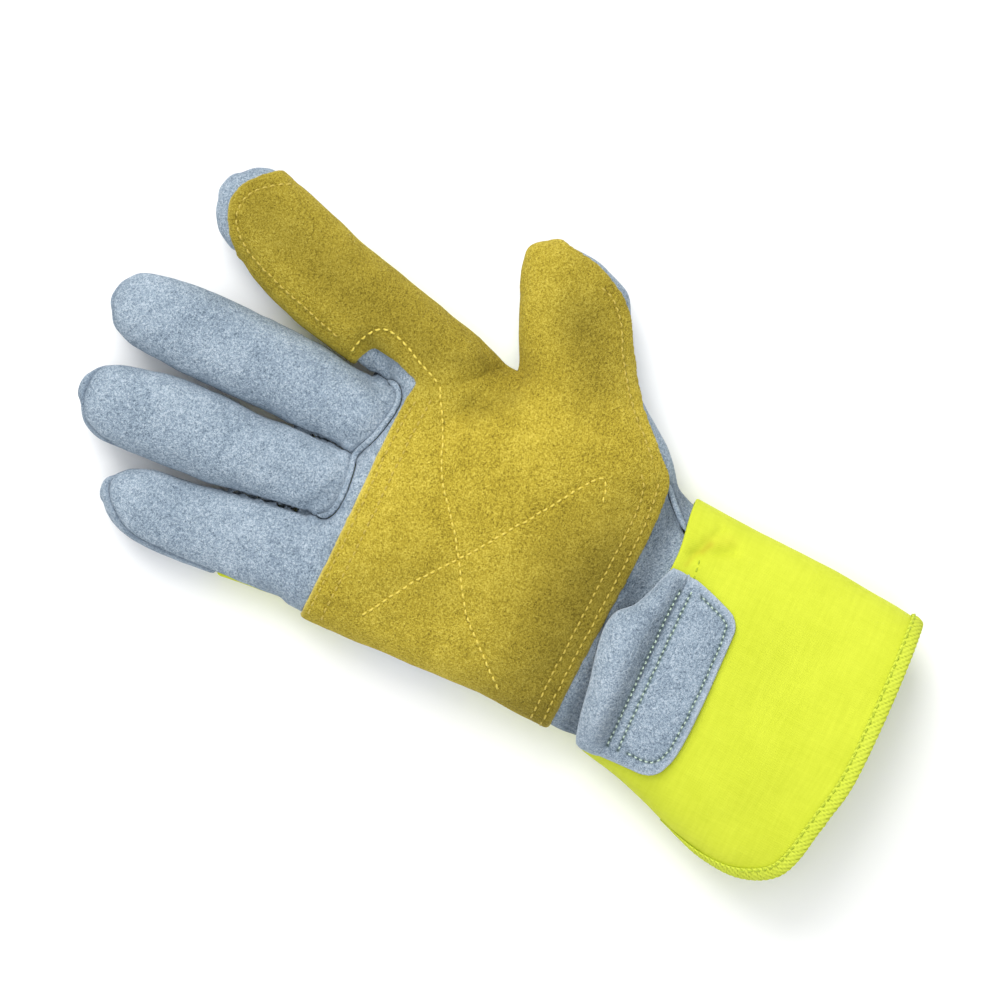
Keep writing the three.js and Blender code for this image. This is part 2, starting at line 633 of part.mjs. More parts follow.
function patchGrid(lift) {
  const { columns, rows, seamY } = WRIST_PATCH;
  return columns.map(({ x, top, bottom, puff }) => Array.from({ length: rows + 1 }, (_, k) => {
    const y = THREE.MathUtils.lerp(bottom, top, k / rows);
    const above = THREE.MathUtils.clamp((y - seamY) / (top - seamY), 0, 1);
    return patchPoint(x, y, lift + puff * Math.sin(Math.PI * above ** 0.85) ** 0.8);
  }));
}

const PATCH_UNDERSIDE = CUFF_SHEET / 2 + LAYER_GAP;
const patch = slab(patchGrid(PATCH_UNDERSIDE), patchGrid(PATCH_UNDERSIDE + WRIST_PATCH.thickness));

// Welts: rods sunk into the leather along a seam, in a groove one gap wider than they are

function heightOver(meshes) {
  const ray = new THREE.Raycaster(new THREE.Vector3(), new THREE.Vector3(0, 0, -1));
  return (x, y) => {
    ray.ray.origin.set(x, y, 200);
    return ray.intersectObjects(meshes, false)[0].point.z;
  };
}

const WELT_SIDES = 6;
const WELT_STEP = 3.6; // distance between a welt's sections

function rod(points, radius) {
  const section = new THREE.Shape(
    Array.from({ length: WELT_SIDES }, (_, k) => (2 * Math.PI * k) / WELT_SIDES)
      .map((angle) => new THREE.Vector2(radius * Math.cos(angle), radius * Math.sin(angle))));
  const curve = new THREE.CatmullRomCurve3(points);
  const steps = Math.round(curve.getLength() / WELT_STEP);
  return toSolid(new THREE.ExtrudeGeometry(section, { steps, extrudePath: curve, bevelEnabled: false }));
}

const heightOfSkin = heightOver([toMesh('skin', skin, GREY_SUEDE)]);
const weltPaths = [FINGER_WELT, THUMB_WELT].map((line) => (
  line.map(([x, y]) => new THREE.Vector3(x, y, heightOfSkin(x, y) - WELT_RADIUS / 3))));
const [fingerWelt, thumbWelt] = weltPaths.map((path) => rod(path, WELT_RADIUS));

// The groove in the leather runs round both ends of the welt
function weltGroove(path) {
  const radius = WELT_RADIUS + LAYER_GAP;
  const ends = [path[0], path.at(-1)].map((p) => (
    toSolid(new THREE.OctahedronGeometry(radius, 1).translate(p.x, p.y, p.z))));
  return rod(path, radius).add(ends[0]).add(ends[1]);
}

const grooves = weltPaths.map(weltGroove).reduce((both, one) => both.add(one));

const leather = { palmLeather, middleFront, ringFront, thumbLeather };
const grooved = Object.fromEntries(
  Object.entries(leather).map(([name, solid]) => [name, largest(solid.subtract(grooves))]));

// The glove

const glove = new THREE.Group();
glove.add(
  toMesh('palm_leather', grooved.palmLeather, GREY_SUEDE),
  toMesh('middle_finger_front', grooved.middleFront, GREY_SUEDE),
  toMesh('ring_finger_front', grooved.ringFront, GREY_SUEDE),
  toMesh('thumb_leather', grooved.thumbLeather, GREY_SUEDE),
  toMesh('back_fabric', backFabric, YELLOW_FABRIC),
  ...fingertips,
  toMesh('double_palm', doublePalm, GOLD_SUEDE),
  toMesh('knuckle_strap', knuckleStrap, GREY_SUEDE),
  toMesh('wrist_patch', patch, GREY_SUEDE),
  toMesh('cuff', cuff, YELLOW_FABRIC),
  toMesh('cuff_binding', binding, YELLOW_TAPE),
  toMesh('finger_welt', fingerWelt, GREY_SUEDE),
  toMesh('thumb_welt', thumbWelt, GREY_SUEDE));

export default glove;
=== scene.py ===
# A right-hand leather work glove, palm up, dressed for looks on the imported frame.
# Lengths are in millimetres until a mesh is made. +X is the thumb's side, +Y the fingertips, +Z up.
# The hand form is a smooth union of six limbs from the solids' tables. Its surface is cut into panels.

import math

import bpy
import numpy as np
import openvdb
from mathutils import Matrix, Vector
from mathutils.bvhtree import BVHTree
from mathutils.kdtree import KDTree


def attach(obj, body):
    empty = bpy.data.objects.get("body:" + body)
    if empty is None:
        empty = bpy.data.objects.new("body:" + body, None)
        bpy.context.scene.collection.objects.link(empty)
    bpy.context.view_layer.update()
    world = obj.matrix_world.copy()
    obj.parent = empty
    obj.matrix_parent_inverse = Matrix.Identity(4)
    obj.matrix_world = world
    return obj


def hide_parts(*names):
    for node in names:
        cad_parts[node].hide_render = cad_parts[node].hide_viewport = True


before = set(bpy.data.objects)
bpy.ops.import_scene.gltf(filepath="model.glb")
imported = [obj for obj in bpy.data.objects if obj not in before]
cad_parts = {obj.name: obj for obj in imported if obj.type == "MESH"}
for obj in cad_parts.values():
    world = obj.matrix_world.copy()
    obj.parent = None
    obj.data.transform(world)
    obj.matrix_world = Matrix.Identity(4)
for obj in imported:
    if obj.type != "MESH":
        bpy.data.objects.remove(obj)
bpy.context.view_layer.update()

# Sizes

MM = 0.001
TINY = 1e-3  # step for slopes on the cuff's sheet
SPACING = 0.8  # grid of the hand form
HIGH = 44  # top of that grid
LIMB_ROOM = 21  # room round a limb in its part of the grid
FLOOR_BLEND = 1.2  # how softly a limb's sides run into its flat underside
LEATHER = 1.6  # wall of the hand's pieces
OVERLAY = 1.25  # double palm and knuckle strap
CUFF_SHEET = 1.3
PATCH_SHEET = 1.3
LAYER_GAP = 0.45  # between a sheet and what it lies on
THINNEST = 0.25  # a sheet's thickness where its edge rolls in
SEAM_GAP = 0.16
SEAM_ROLL = 1.7  # how wide a turned seam's edge rolls in
SEAM_DROP = 1.25  # how deep it rolls in
WELT_RADIUS = 0.92
WELT_SLIT = 0.5  # the leather ends this far from a welt's middle
WRIST_END = -68  # where the hand's pieces end inside the cuff
PAST_ROOTS = 50, 55  # here the finger seams go over from their tables to where the fingers meet
HALF_FINGER = 11
HOLE = 0.58  # how wide a stitch hole's shade is
ROUNDNESS = 2.35  # superellipse power of every section
BELLY = 1.12  # how far an underside would bulge before the floor flattens it

# The knuckle strap on the back, and where the double palm ends

STRAP = dict(start=-12, stop=23, right=26, high=14)
DOUBLE_PALM_WRAP = 0.6  # above the side seam
INDEX_ALONE = 46  # past this the double palm keeps to the index finger

# How a stitch row pulls its sheet in: the groove's depth and width, and the puckers' height, pitch and reach

PALM_PULL = dict(deep=0.42, wide=1.1, pucker=0.14, every=5.8, reach=3)
PATCH_PULL = dict(deep=0.34, wide=0.8, pucker=0.08, every=3.8, reach=2)
GROOVE_EDGE = 0.9  # the double palm's mesh is split this far from its stitch rows
THREAD_STOPS = np.array([0.0, 0.16, 0.38, 0.62, 0.84, 1.0])  # points along a thread

# Sections, as in the solids: t, left, right, low, high

PALM = dict(at=(0, 0), turn=0, cap=3, rows=[
    (-82, 57.4, 19.1, 3.3, 30.8), (-68, 57.4, 19.1, 3.3, 30.8), (-55, 57.4, 19.6, 3.3, 31),
    (-46, 58, 22, 2.8, 32.4), (-38, 57.4, 28, 2.2, 33.8), (-27, 57, 31, 1.7, 35.4),
    (-10, 57.4, 32, 1.7, 36), (10, 58.6, 31.8, 1.7, 34.8), (26, 59.5, 33, 1.7, 33),
    (36, 59.5, 32.6, 1.8, 31), (44, 59, 28.6, 2.4, 28), (49.5, 56, 22, 4, 24)], end=52)
INDEX = dict(at=(22.4, 35), turn=15.4, cap=3.5, rows=[
    (-20, 11, 11, 8, 27), (2, 13, 14, 2.5, 28.8), (15, 13.3, 13.6, 1.8, 27.1), (30, 14.2, 13.1, 2, 25.5),
    (43, 15.4, 12.9, 2.3, 25), (56, 14.5, 12.9, 2.9, 25), (68, 13, 13.5, 3.9, 24.6),
    (75.5, 11.8, 13.4, 5, 23.6), (81, 8.8, 10.6, 6.8, 21.6), (84, 4.8, 6.4, 9.2, 19.4)], end=85.6)
MIDDLE = dict(at=(1.8, 40), turn=0, cap=4, rows=[
    (-20, 9.5, 9.5, 8, 27), (2, 11.6, 11.6, 2.5, 28.4), (15, 12.8, 10.9, 2, 26.6),
    (32, 12.5, 12.8, 2.2, 24.6), (50, 13.2, 13.2, 3, 24.6), (68, 13, 12.9, 4.1, 24.3),
    (80, 12.6, 11.2, 5.5, 23.4), (87, 10.4, 8.9, 7.4, 21.4), (91, 6.2, 5.6, 10, 18.8)], end=92.6)
RING = dict(at=(-20, 40), turn=-6, cap=4, rows=[
    (-20, 9, 9, 8, 27), (2, 10.8, 10.2, 2.5, 27.9), (15, 11.8, 11.4, 2.1, 26), (32, 12.7, 11.1, 2.6, 24.8),
    (48, 12.9, 13, 3.4, 24.8), (65, 12.6, 13.4, 4.6, 24.5), (77, 12, 12.1, 5.8, 23.7),
    (84.4, 8.8, 9.8, 7.6, 21.6), (88.4, 3.6, 6.6, 10.2, 18.8)], end=90.2)
LITTLE = dict(at=(-44.5, 40), turn=-7, cap=4, rows=[
    (-20, 10, 9, 8, 25), (2, 13.5, 11.6, 3, 26), (14, 13.6, 13.4, 2.1, 24.2), (30, 13.5, 12.5, 2.2, 22.6),
    (44, 12.9, 10.3, 3, 22.4), (56, 11.7, 10.4, 4.4, 22), (64.4, 8.6, 8.6, 6.2, 20.2), (69, 4.2, 5, 9, 17.6)],
    end=71.3)
THUMB = dict(at=(20, -12), turn=65, cap=5, slant=(0.42, 30, 45), rows=[
    (-18, 10, 18, 8, 28), (-8, 15.6, 28.2, 3, 33.6), (-1, 16.6, 27.2, 2.4, 33.8), (7, 17, 23.6, 2.2, 33),
    (15, 16.9, 19.8, 2.4, 31.4), (28, 16, 16.9, 3, 28.8), (43, 15.5, 16.4, 4.4, 26.8),
    (52, 14.2, 15, 6, 25), (56.6, 9.6, 10.2, 8.4, 22.4)], end=59)

# The cuff's sections, from the wrist to the mouth: t, left, right, high and half the slit's width

CUFF_LOW = 1.2
MOUTH_BOW = 1.8  # how far the mouth's middle stands out past its sides
MOUTH_DIP = (2.3, -0.47, 0.22)  # how far the mouth draws back, where across it, and how wide
WRIST_CORNER = 2.0  # how far the wrist's edge reaches up the hand on the thumb's side
CUFF = np.array([
    (53.5, 60.4, 22.8, 33.6, 0.3), (66, 63.2, 22, 33.7, 0.3), (78, 66.8, 21.5, 34.4, 0.9),
    (84, 69, 21.2, 35, 1.9), (92, 71.4, 20.8, 36, 2.4), (101, 73.6, 20.6, 37.3, 3.3),
    (109, 74.6, 20.2, 38.4, 4.9), (116, 74.8, 19.9, 39.3, 8.2), (121.5, 74.8, 19.4, 39.9, 11.9),
    (125, 74.8, 18.8, 40.2, 15.9), (127.5, 74.8, 18, 40.4, 18.3)])
PATCH_GROUND = np.vstack([[(42, 59.4, 23, 33.6, 0.3)], CUFF])
BINDING_FROM = 84

# The wrist patch: x, top edge, bottom edge and puff

PATCH = np.array([
    (-58.2, -53, -72, 0.3), (-57.4, -51.4, -75.2, 0.8), (-54.8, -50.4, -77.8, 1.8),
    (-48, -48.8, -79.7, 4.4), (-40, -47.2, -80, 5), (-32, -45.2, -79.9, 5.2), (-24, -44, -79.6, 5),
    (-20, -44.6, -79.4, 4.6), (-15, -49, -79.2, 4), (-9, -51.6, -78.9, 3), (-5, -52.8, -76.6, 2.2),
    (-2, -53.8, -69, 1.4), (0, -54.6, -62, 0.8)])
PATCH_SEAM = -58.6

# Dents and folds of the palm's side: x0, y0, x1, y1, width, depth

DENTS = [
    (34, 13, 10, 24, 5.5, 4), (-30, 4, -14, -14, 20, 2.6), (-31, 47, -11, 46, 3.2, 2.2),
    (-9, 45, 12, 42, 3.2, 2.2), (15, 50, 19, 56, 4.5, 9), (-28, 62, -26, 58, 6, 1.5),
    (-8, 78, -8, 74, 6, 0.9), (-55, 64, -53, 60, 6, 1), (36, 90, 46, 84, 7, 0.8)]
CREASES = [
    (33, 17, 22, 27, 2.2, 1.3), (31, 22, 38, 31, 3, 0.9), (26, 12, 14, 14, 3, 0.8), (30, 10, 24, 0, 4, 0.7),
    (-50, -30, -38, -37, 3, 0.5), (-20, -39, -17, -30, 2.6, 0.5), (0, -40, 4, -30, 2.4, 0.5),
    (-46, 26, -40, 12, 4, 0.5), (-8, 30, -12, 18, 4, 0.5), (34, 74, 44, 70, 4, 0.5),
    (28, 60, 40, 55, 4, 0.5), (-12, 60, 2, 57, 2.6, 0.5), (-30, 72, -20, 69, 3, 0.4),
    (-56, 78, -47, 76, 3, 0.4), (-5, 96, 6, 98, 4, 0.4), (44, -8, 50, -16, 4, 0.5), (52, 12, 56, 0, 4, 0.5),
    (18, -46, 12, -53, 2.2, 0.8), (-10, -44, -8, -53, 1.8, 0.6), (-24, -44, -26, -52, 1.8, 0.6),
    (-40, -44, -38, -53, 2.2, 0.6), (4, -45, 8, -53, 1.8, 0.7), (-60, -47.6, 23, -47.6, 4.2, 2.6),
    (-33, 50, -44, 47, 2.6, 0.7), (-43, 54, -42, 48, 3, -0.8), (14, 47, 17, 43, 2, 0.6),
    (-20, 52, -19, 60, 4, -0.4), (2, 50, 3, 58, 4, -0.4), (-30, 52, -26, 49, 2.2, 0.7),
    (8, 47, 12, 50, 2.2, 0.7), (-14, 50, -12, 54, 2, 0.6)]

# Where the side seam rides higher or lower than its table says: x0, y0, x1, y1, width, rise

SEAM_RISES = [
    (-66, 68, -62, 104, 7, 4.6), (-60, 109, -54, 112, 6, 4.5), (-40, 118, -26, 129, 7, 4.6),
    (-9, 130, 2, 133, 6, 2.6), (13, 46, 17, 60, 5.5, -14), (-10.8, 46, -11.7, 69, 4.5, -14),
    (-32.5, 48, -37.2, 77, 4.5, -14), (16, 62, 19, 90, 6, -3.5), (-12, 78, -12, 96, 4, -3.5),
    (-38.6, 86, -40, 92, 4, -3.5), (60, -12, 71, -2, 8, 2.5)]

# Painted shade in creases, folds, valleys and recesses, and on the double palm also nap that lies darker: x0,
# y0, x1, y1, width, share of light lost

GOLD_PAINTED_SHADES = [
    (26, 42, 42, 104, 17, 0.42), (-52, -40, -18, -38, 24, 0.55), (6, -38, 14, -36, 16, 0.18),
    (-46, 26, -36, 10, 15, 0.18), (62, 4, 66, 8, 16, 0.2), (42, -8, 52, 0, 12, 0.32),
    (34, 14, 30, 22, 8, 0.12), (24.5, 12, 17, 20.5, 4.5, 0.2), (28, 30, 32, 20, 3.5, 0.12)]
PATCH_PAINTED_SHADES = [(-55, -57.3, -3, -56.7, 2.2, 0.26), (-50, -54.8, -16, -54.2, 3.2, 0.13)]
GREY_PAINTED_SHADES = [
    (-60, -47.5, 24, -47.5, 4.6, 0.45), (-31, 46.5, 13, 44, 2.6, 0.16), (14.6, 51, 16, 55, 1.6, 0.3)]
CUFF_PAINTED_SHADES = [
    (8.6, -59.6, 11.6, -61, 1.0, 0.28), (12, -60, 15, -66, 2.2, 0.1), (3, -57, 7.6, -58.4, 0.8, 0.16)]

# Seams and outlines in plan

RING_ROOT = [(-32.4, 50), (-31.6, 46.8), (-28, 44.6), (-22, 44.3), (-15, 45.3), (-10.6, 46.4)]
MIDDLE_ROOT = [(-10.6, 46.4), (-3, 43.3), (5, 41.7), (10, 41.8), (13.2, 44.2), (13.6, 50)]
RING_SIDES = [
    (-10.9, 60), (-11.6, 70), (-11.7, 80), (-12.2, 100), (-12.6, 140), (-47, 140), (-42, 105), (-39.4, 92),
    (-38, 80), (-35.9, 70), (-34, 60)]
MIDDLE_SIDES = [
    (14.1, 60), (15.9, 70), (17.5, 80), (20, 100), (22, 140), (-12.6, 140), (-12.2, 100), (-11.7, 80),
    (-11.6, 70), (-10.9, 60)]
THUMB_ROOT = [
    (37, 17), (27, 5), (22, -12), (25, -28), (24.4, -36.6), (21, -42.2), (16, -48.2), (11, -54.5), (10, -72)]
# The fingertips' seams on the back: the finger, its neighbours and the line
FINGERTIPS = {
    "little_fingertip_back": (LITTLE, [RING], [(-68, 67), (-60, 68.5), (-48, 69.5), (-34, 67)]),
    "ring_fingertip_back": (RING, [LITTLE, MIDDLE], [(-44, 78.5), (-30, 80.5), (-20, 80.5), (-8.5, 79)]),
    "middle_fingertip_back": (MIDDLE, [RING, INDEX], [(-14, 82), (-6, 84.5), (8, 84.5), (19, 82)]),
    "index_fingertip_back": (INDEX, [MIDDLE], [(14, 82), (24, 83), (38, 79.5), (58, 71)]),
}
SIDE_SEAM = np.array([(-85, 15.5), (-40, 15.5), (20, 14.5), (60, 13.2), (100, 13.6), (145, 14.2)])
DOUBLE_PALM = [
    (-66, 40.2), (-66, -41.6), (-40, -41.6), (-18, -42.5), (2, -43.1), (12, -42.9), (21, -41.8),
    (24.6, -40.2), (28.3, -36.2), (34, -30), (38.6, -25), (45.4, -19.4), (53.2, -14.2), (62, -9.4),
    (67, -4.4), (69.4, 0.8), (71.2, 5.2), (72.3, 10), (72.7, 15), (73.4, 19), (90, 20), (90, 30), (40, 34),
    (62, 98), (57.4, 101.4), (52.4, 107.4), (47.2, 111.8), (41.6, 113.2), (37, 111.6), (32.2, 108.6),
    (28.8, 105), (25.8, 100.6), (22.6, 95), (19, 88), (11, 58), (14.4, 58.4), (18, 57.2), (21.4, 54.8),
    (20.4, 48), (17, 38.6), (10, 39.4), (0, 39.8), (-20, 39.7), (-40, 39.6)]
FINGER_WELT = [
    (-31.9, 48.4), (-31.2, 46.2), (-28, 44.6), (-22, 44.3), (-15, 45.3), (-10.6, 46.2), (-3, 43.3),
    (5, 41.7), (10, 41.8), (13, 44), (13.5, 47)]
THUMB_WELT = [(22.6, -41.6), (19.4, -44.6), (16, -48.2), (12.2, -52.6)]

# At this place of the index finger's tip the double palm is sunk until it lies flush: x, y, reach and depths
FLUSH = (26.4, 103.4, 5, 0.5, -1.3)

# Stitch rows in plan

PALM_ROWS = [
    [(-60, 38), (-40, 37.6), (-20, 37.7), (0, 37.8), (12, 36.8)],
    [(-60, 33.8), (-40, 33.4), (-20, 33.3), (0, 33.3), (14, 32.8)],
    [(16.2, 61), (21.3, 59.6), (25.6, 56.6), (26.9, 53), (26.2, 49), (24.1, 44.2), (21.4, 38.6), (19, 32.5)],
    [(19, 32.5), (7.4, 25.9), (-5.5, 19.6), (-18.5, 9.2), (-25, 4.7), (-35.6, -2.2), (-41.5, -7.3),
     (-55.5, -23.8)],
    [(8.5, -27), (15, -22.8), (-1, -11.8), (-18.2, -0.3), (-25, 4.7), (-36, 13), (-44.6, 18.2),
     (-53.6, 23.8)],
    [(-60, -39.2), (-40, -39.2), (-18, -40), (2, -40.6), (11, -40.4), (19.6, -39.4), (22.8, -38)],
    [(-59, -35.4), (-40, -35.6), (-18, -36.2), (2, -36.8), (11, -36.6), (17.6, -35.6), (21.6, -33)],
    [(26.4, -34.4), (32, -28.6), (36.8, -23.4), (43.4, -17.8), (51, -12.6), (59.4, -7.8), (64.4, -3),
     (66.6, 2.4)],
    [(18.6, 66), (21.6, 77), (25.2, 89), (28.6, 98.6), (32.4, 105), (37, 108.8), (42.4, 109.6),
     (47.4, 107.2), (51, 103), (54.2, 97.4)]]
PATCH_ROWS = [
    [(-55.6, -59.6), (-40, -59), (-24, -58.6), (-10, -58.4), (-3.6, -58.8)],
    [(-55.6, -63), (-40, -62.5), (-24, -62.2), (-10, -62), (-3.4, -62)],
    [(-55.2, -66), (-55, -71.6), (-53.6, -74.6), (-50, -76.4), (-46, -77), (-32, -77.2), (-20, -76.8),
     (-10.4, -76.2), (-7.4, -75), (-5.2, -70), (-3.6, -65)]]
CUFF_ROWS = [
    [(-0.6, -61), (4, -60.4), (8, -60)]]

# Plan tools

def smooth_line(points, step=0.8):
    """A line through points, rounded as a Catmull-Rom curve, with a point about every step."""
    p = np.array(points, float)
    p = np.vstack([2 * p[0] - p[1], p, 2 * p[-1] - p[-2]])
    out = []
    for a, b, c, d in zip(p[:-3], p[1:-2], p[2:-1], p[3:]):
        count = max(2, int(np.linalg.norm(c - b) / step))
        s = np.linspace(0, 1, count, endpoint=False)[:, None]
        square, cube = 2 * a - 5 * b + 4 * c - d, 3 * b - a - 3 * c + d
        out.append(0.5 * (2 * b + (c - a) * s + square * s**2 + cube * s**3))
    return np.vstack(out + [p[-2:-1]])


def rounded(points, reach):
    """A closed outline with each corner cut by a small arc."""
    p = np.array(points, float)
    out = []
    for a, b, c in zip(np.roll(p, 1, 0), p, np.roll(p, -1, 0)):
        before, after = (b + (end - b) * min(reach / np.linalg.norm(end - b), 0.45) for end in (a, c))
        out += [before, 0.25 * before + 0.5 * b + 0.25 * after, after]
    return np.array(out)


def line_reach(xy, line):
    """Each point's distance to a line in plan, and how far along the line its nearest place is."""
    best = np.full(len(xy), 1e9)
    along = np.zeros(len(xy))
    start = 0.0
    for a, b in zip(line[:-1], line[1:]):
        d = b - a
        length = math.hypot(*d)
        s = np.clip(((xy - a) @ d) / length**2, 0, 1)
        away = np.hypot(*(xy - a - s[:, None] * d).T)
        closer = away < best
        best = np.where(closer, away, best)
        along = np.where(closer, start + s * length, along)
        start += length
    return best, along


def inside(xy, outline):
    """Signed distance to a closed outline in plan, positive inside."""
    away, _ = line_reach(xy, np.vstack([outline, outline[:1]]))
    x, y = xy.T
    odd = np.zeros(len(xy), bool)
    for (ax, ay), (bx, by) in zip(outline, np.roll(outline, -1, 0)):
        if ay != by:
            odd ^= ((ay > y) != (by > y)) & (x < (bx - ax) * (y - ay) / (by - ay) + ax)
    return np.where(odd, away, -away)


def smoothstep(v, a, b):
    s = np.clip((v - a) / (b - a), 0, 1)
    return s * s * (3 - 2 * s)


def eased(x, y, q):
    """Smooth values at q through a table that keeps its ups and downs."""
    x, y = np.asarray(x, float), np.asarray(y, float)
    h, d = np.diff(x), np.diff(y) / np.diff(x)
    m = np.empty_like(y)
    m[0], m[-1] = d[0], d[-1]
    w1, w2 = 2 * h[1:] + h[:-1], h[1:] + 2 * h[:-1]
    same = d[:-1] * d[1:] > 0
    safe = np.where(same, d[:-1], 1), np.where(same, d[1:], 1)
    m[1:-1] = np.where(same, (w1 + w2) / (w1 / safe[0] + w2 / safe[1]), 0)
    q = np.clip(q, x[0], x[-1])
    i = np.clip(np.searchsorted(x, q) - 1, 0, len(x) - 2)
    s = (q - x[i]) / h[i]
    return ((1 + 2 * s) * (1 - s)**2 * y[i] + s * (1 - s)**2 * h[i] * m[i]
            + s * s * (3 - 2 * s) * y[i + 1] + s * s * (s - 1) * h[i] * m[i + 1])


def blend_corners(grid, i, s):
    """A grid's values in its cells i, blended between each cell's corners by the shares s."""
    total = 0
    for corner in np.ndindex(2, 2, 2):
        weight = np.prod(np.where(np.array(corner) == 1, s, 1 - s), axis=1)
        value = grid[tuple((i + corner).T)]
        total = total + (weight[:, None] if value.ndim > 1 else weight) * value
    return total


def lengths_along(points):
    """How far along a line each of its points is."""
    return np.concatenate([[0], np.cumsum(np.linalg.norm(np.diff(points, axis=0), axis=1))])


def unit(vectors):
    return vectors / np.maximum(np.linalg.norm(vectors, axis=-1, keepdims=True), 1e-9)


def stitched_in(xy, line, deep, wide, pucker, every, reach):
    """How far a stitch row pulls its sheet in: a groove, with puckers along it."""
    away, along = line_reach(xy, line)
    puckers = pucker * np.cos(along * 2 * math.pi / every) * np.exp(-(away / reach)**2)
    return deep * np.exp(-(away / wide)**2) + puckers


def noise(p, size, seed):
    """Smooth noise from -1 to 1 at points, with lumps of about that size."""
    q = np.asarray(p, float) / size
    low = np.floor(q.min(axis=0)).astype(int)
    q = q - low
    cells = np.floor(q.max(axis=0)).astype(int) + 2
    lattice = np.random.default_rng(seed).uniform(-1, 1, cells)
    i = np.floor(q).astype(int)
    return blend_corners(lattice, i, smoothstep(q - i, 0, 1))


# The hand form as a field, negative inside

def dent_depth(x, y, table):
    """The summed depth of soft-edged strokes."""
    total = np.zeros(np.broadcast(x, y).shape)
    for x0, y0, x1, y1, width, depth in table:
        dx, dy = x1 - x0, y1 - y0
        s = np.clip(((x - x0) * dx + (y - y0) * dy) / (dx * dx + dy * dy), 0, 1)
        total += depth * np.exp(-(((x - x0 - s * dx)**2 + (y - y0 - s * dy)**2) / width**2))
    return total


def limb_rho(limb, x, y, z):
    """1 on the limb's surface, less inside. x and y have the same shape; z broadcasts against it."""
    turn = math.radians(limb["turn"])
    dx, dy = x - limb["at"][0], y - limb["at"][1]
    along = dx * math.sin(turn) + dy * math.cos(turn)
    u = dx * math.cos(turn) - dy * math.sin(turn)
    t = along
    if "slant" in limb:
        share, start, stop = limb["slant"]
        for _ in range(3):
            t = along + share * smoothstep(t, start, stop) * u
    rows = np.array(limb["rows"], float)
    left, right, low, high = (eased(rows[:, 0], rows[:, k], t) for k in (1, 2, 3, 4))
    n = ROUNDNESS
    across = np.abs(u - (right - left) / 2) / ((left + right) / 2)
    tip = np.clip((t - limb["end"]) / limb["cap"] + 1, 0, 3)
    root = np.clip((rows[0, 0] + limb["cap"] - t) / limb["cap"], 0, 3)
    flat = across**n + tip**n + root**n
    middle, tall = (high + low) / 2, (high - low) / 2
    up = z - middle
    rise = np.where(up > 0, up / tall, -up / (tall * BELLY))
    return (flat + rise**n)**(1 / n), low


def limb_field(limb, x, y, z):
    rho, low = limb_rho(limb, x, y, z)
    slope = np.sqrt(sum(g**2 for g in np.gradient(rho, SPACING)))
    side = (rho - 1) / np.maximum(slope, 0.03)
    floor = low - z
    blend = np.maximum(FLOOR_BLEND - np.abs(side - floor), 0) / FLOOR_BLEND
    return np.maximum(side, floor) + blend**2 * FLOOR_BLEND / 4


def box_of(limb):
    """The low and the high corner of a limb's room in plan."""
    turn = math.radians(limb["turn"])
    wide = max(r[1] + r[2] for r in limb["rows"]) / 2 + LIMB_ROOM
    ends = [(limb["at"][0] + t * math.sin(turn), limb["at"][1] + t * math.cos(turn))
            for t in (limb["rows"][0][0], limb["end"])]
    low = np.min(ends, axis=0) - wide
    return low, np.max(ends, axis=0) + wide


def hand_field():
    """The smooth union of the limbs on a grid. It blends wider at the finger roots than past them."""
    axes = [np.arange(a, b, SPACING) for a, b in ((-82, 84), (-80, 140), (-5, HIGH))]
    x, y = np.meshgrid(axes[0], axes[1], indexing="ij")
    z = axes[2][None, None, :]
    z = z + dent_depth(x, y, DENTS)[:, :, None] * smoothstep(z, 9, 22)
    field = np.full(z.shape, 30.0)
    k_fingers = 0.5 + 4.5 * (1 - smoothstep(y, 44, 52))
    crotch = np.exp(-((x - 32)**2 + (y - 14)**2) / 9**2)
    k_thumb = 6 - 3.6 * crotch
    k_index = np.minimum(k_fingers + 0.5, 5 - 2.5 * crotch)
    for limb, k in ((PALM, k_fingers), (MIDDLE, k_fingers), (RING, k_fingers), (LITTLE, k_fingers),
                    (INDEX, k_index), (THUMB, k_thumb)):
        low, high = ((-90, -90), (90, 150)) if limb is PALM else box_of(limb)
        i0, i1 = np.searchsorted(axes[0], (low[0], high[0]))
        j0, j1 = np.searchsorted(axes[1], (low[1], high[1]))
        here = np.s_[i0:i1, j0:j1]
        part = limb_field(limb, x[here][:, :, None], y[here][:, :, None], z[here])
        was = field[here]
        reach = k[here][:, :, None]
        h = np.maximum(reach - np.abs(part - was), 0) / reach
        field[here] = np.minimum(part, was) - h * h * reach / 4
    return axes, field


def sample(grid, axes, p):
    """Values of a grid at points, between its cells."""
    q = (p - [a[0] for a in axes]) / SPACING
    i = np.clip(np.floor(q).astype(int), 0, np.array(grid.shape[:3]) - 2)
    return blend_corners(grid, i, q - i)


def hand_skin():
    """The hand form's surface: its points, drawn onto the field's zero, and its triangles."""
    axes, field = hand_field()
    grid = openvdb.FloatGrid(3.0)
    grid.copyFromArray(np.clip(field, -3, 3).astype(np.float32))
    points, tris, quads = grid.convertToPolygons(isovalue=0.0, adaptivity=0.0)
    points = np.asarray(points, float) * SPACING + [a[0] for a in axes]
    tris = np.vstack([np.asarray(tris, int).reshape(-1, 3), quads[:, [0, 1, 2]], quads[:, [0, 2, 3]]])
    tris = tris.astype(int)
    slopes = np.stack(np.gradient(np.clip(field, -6, 6), SPACING), axis=3)
    for _ in range(2):
        g = sample(slopes, axes, points)
        f = sample(field, axes, points)
        points -= np.clip(f / np.maximum((g**2).sum(axis=1), 0.1), -0.5, 0.5)[:, None] * g
    return points, tris


# Mesh tools. A surface is an array with a row per point: place, normal, then further columns.

def normals_of(points, tris):
    a, b, c = (points[tris[:, k]] for k in range(3))
    face = np.cross(b - a, c - a)
    total = np.zeros_like(points)
    for k in range(3):
        np.add.at(total, tris[:, k], face)
    return unit(total)


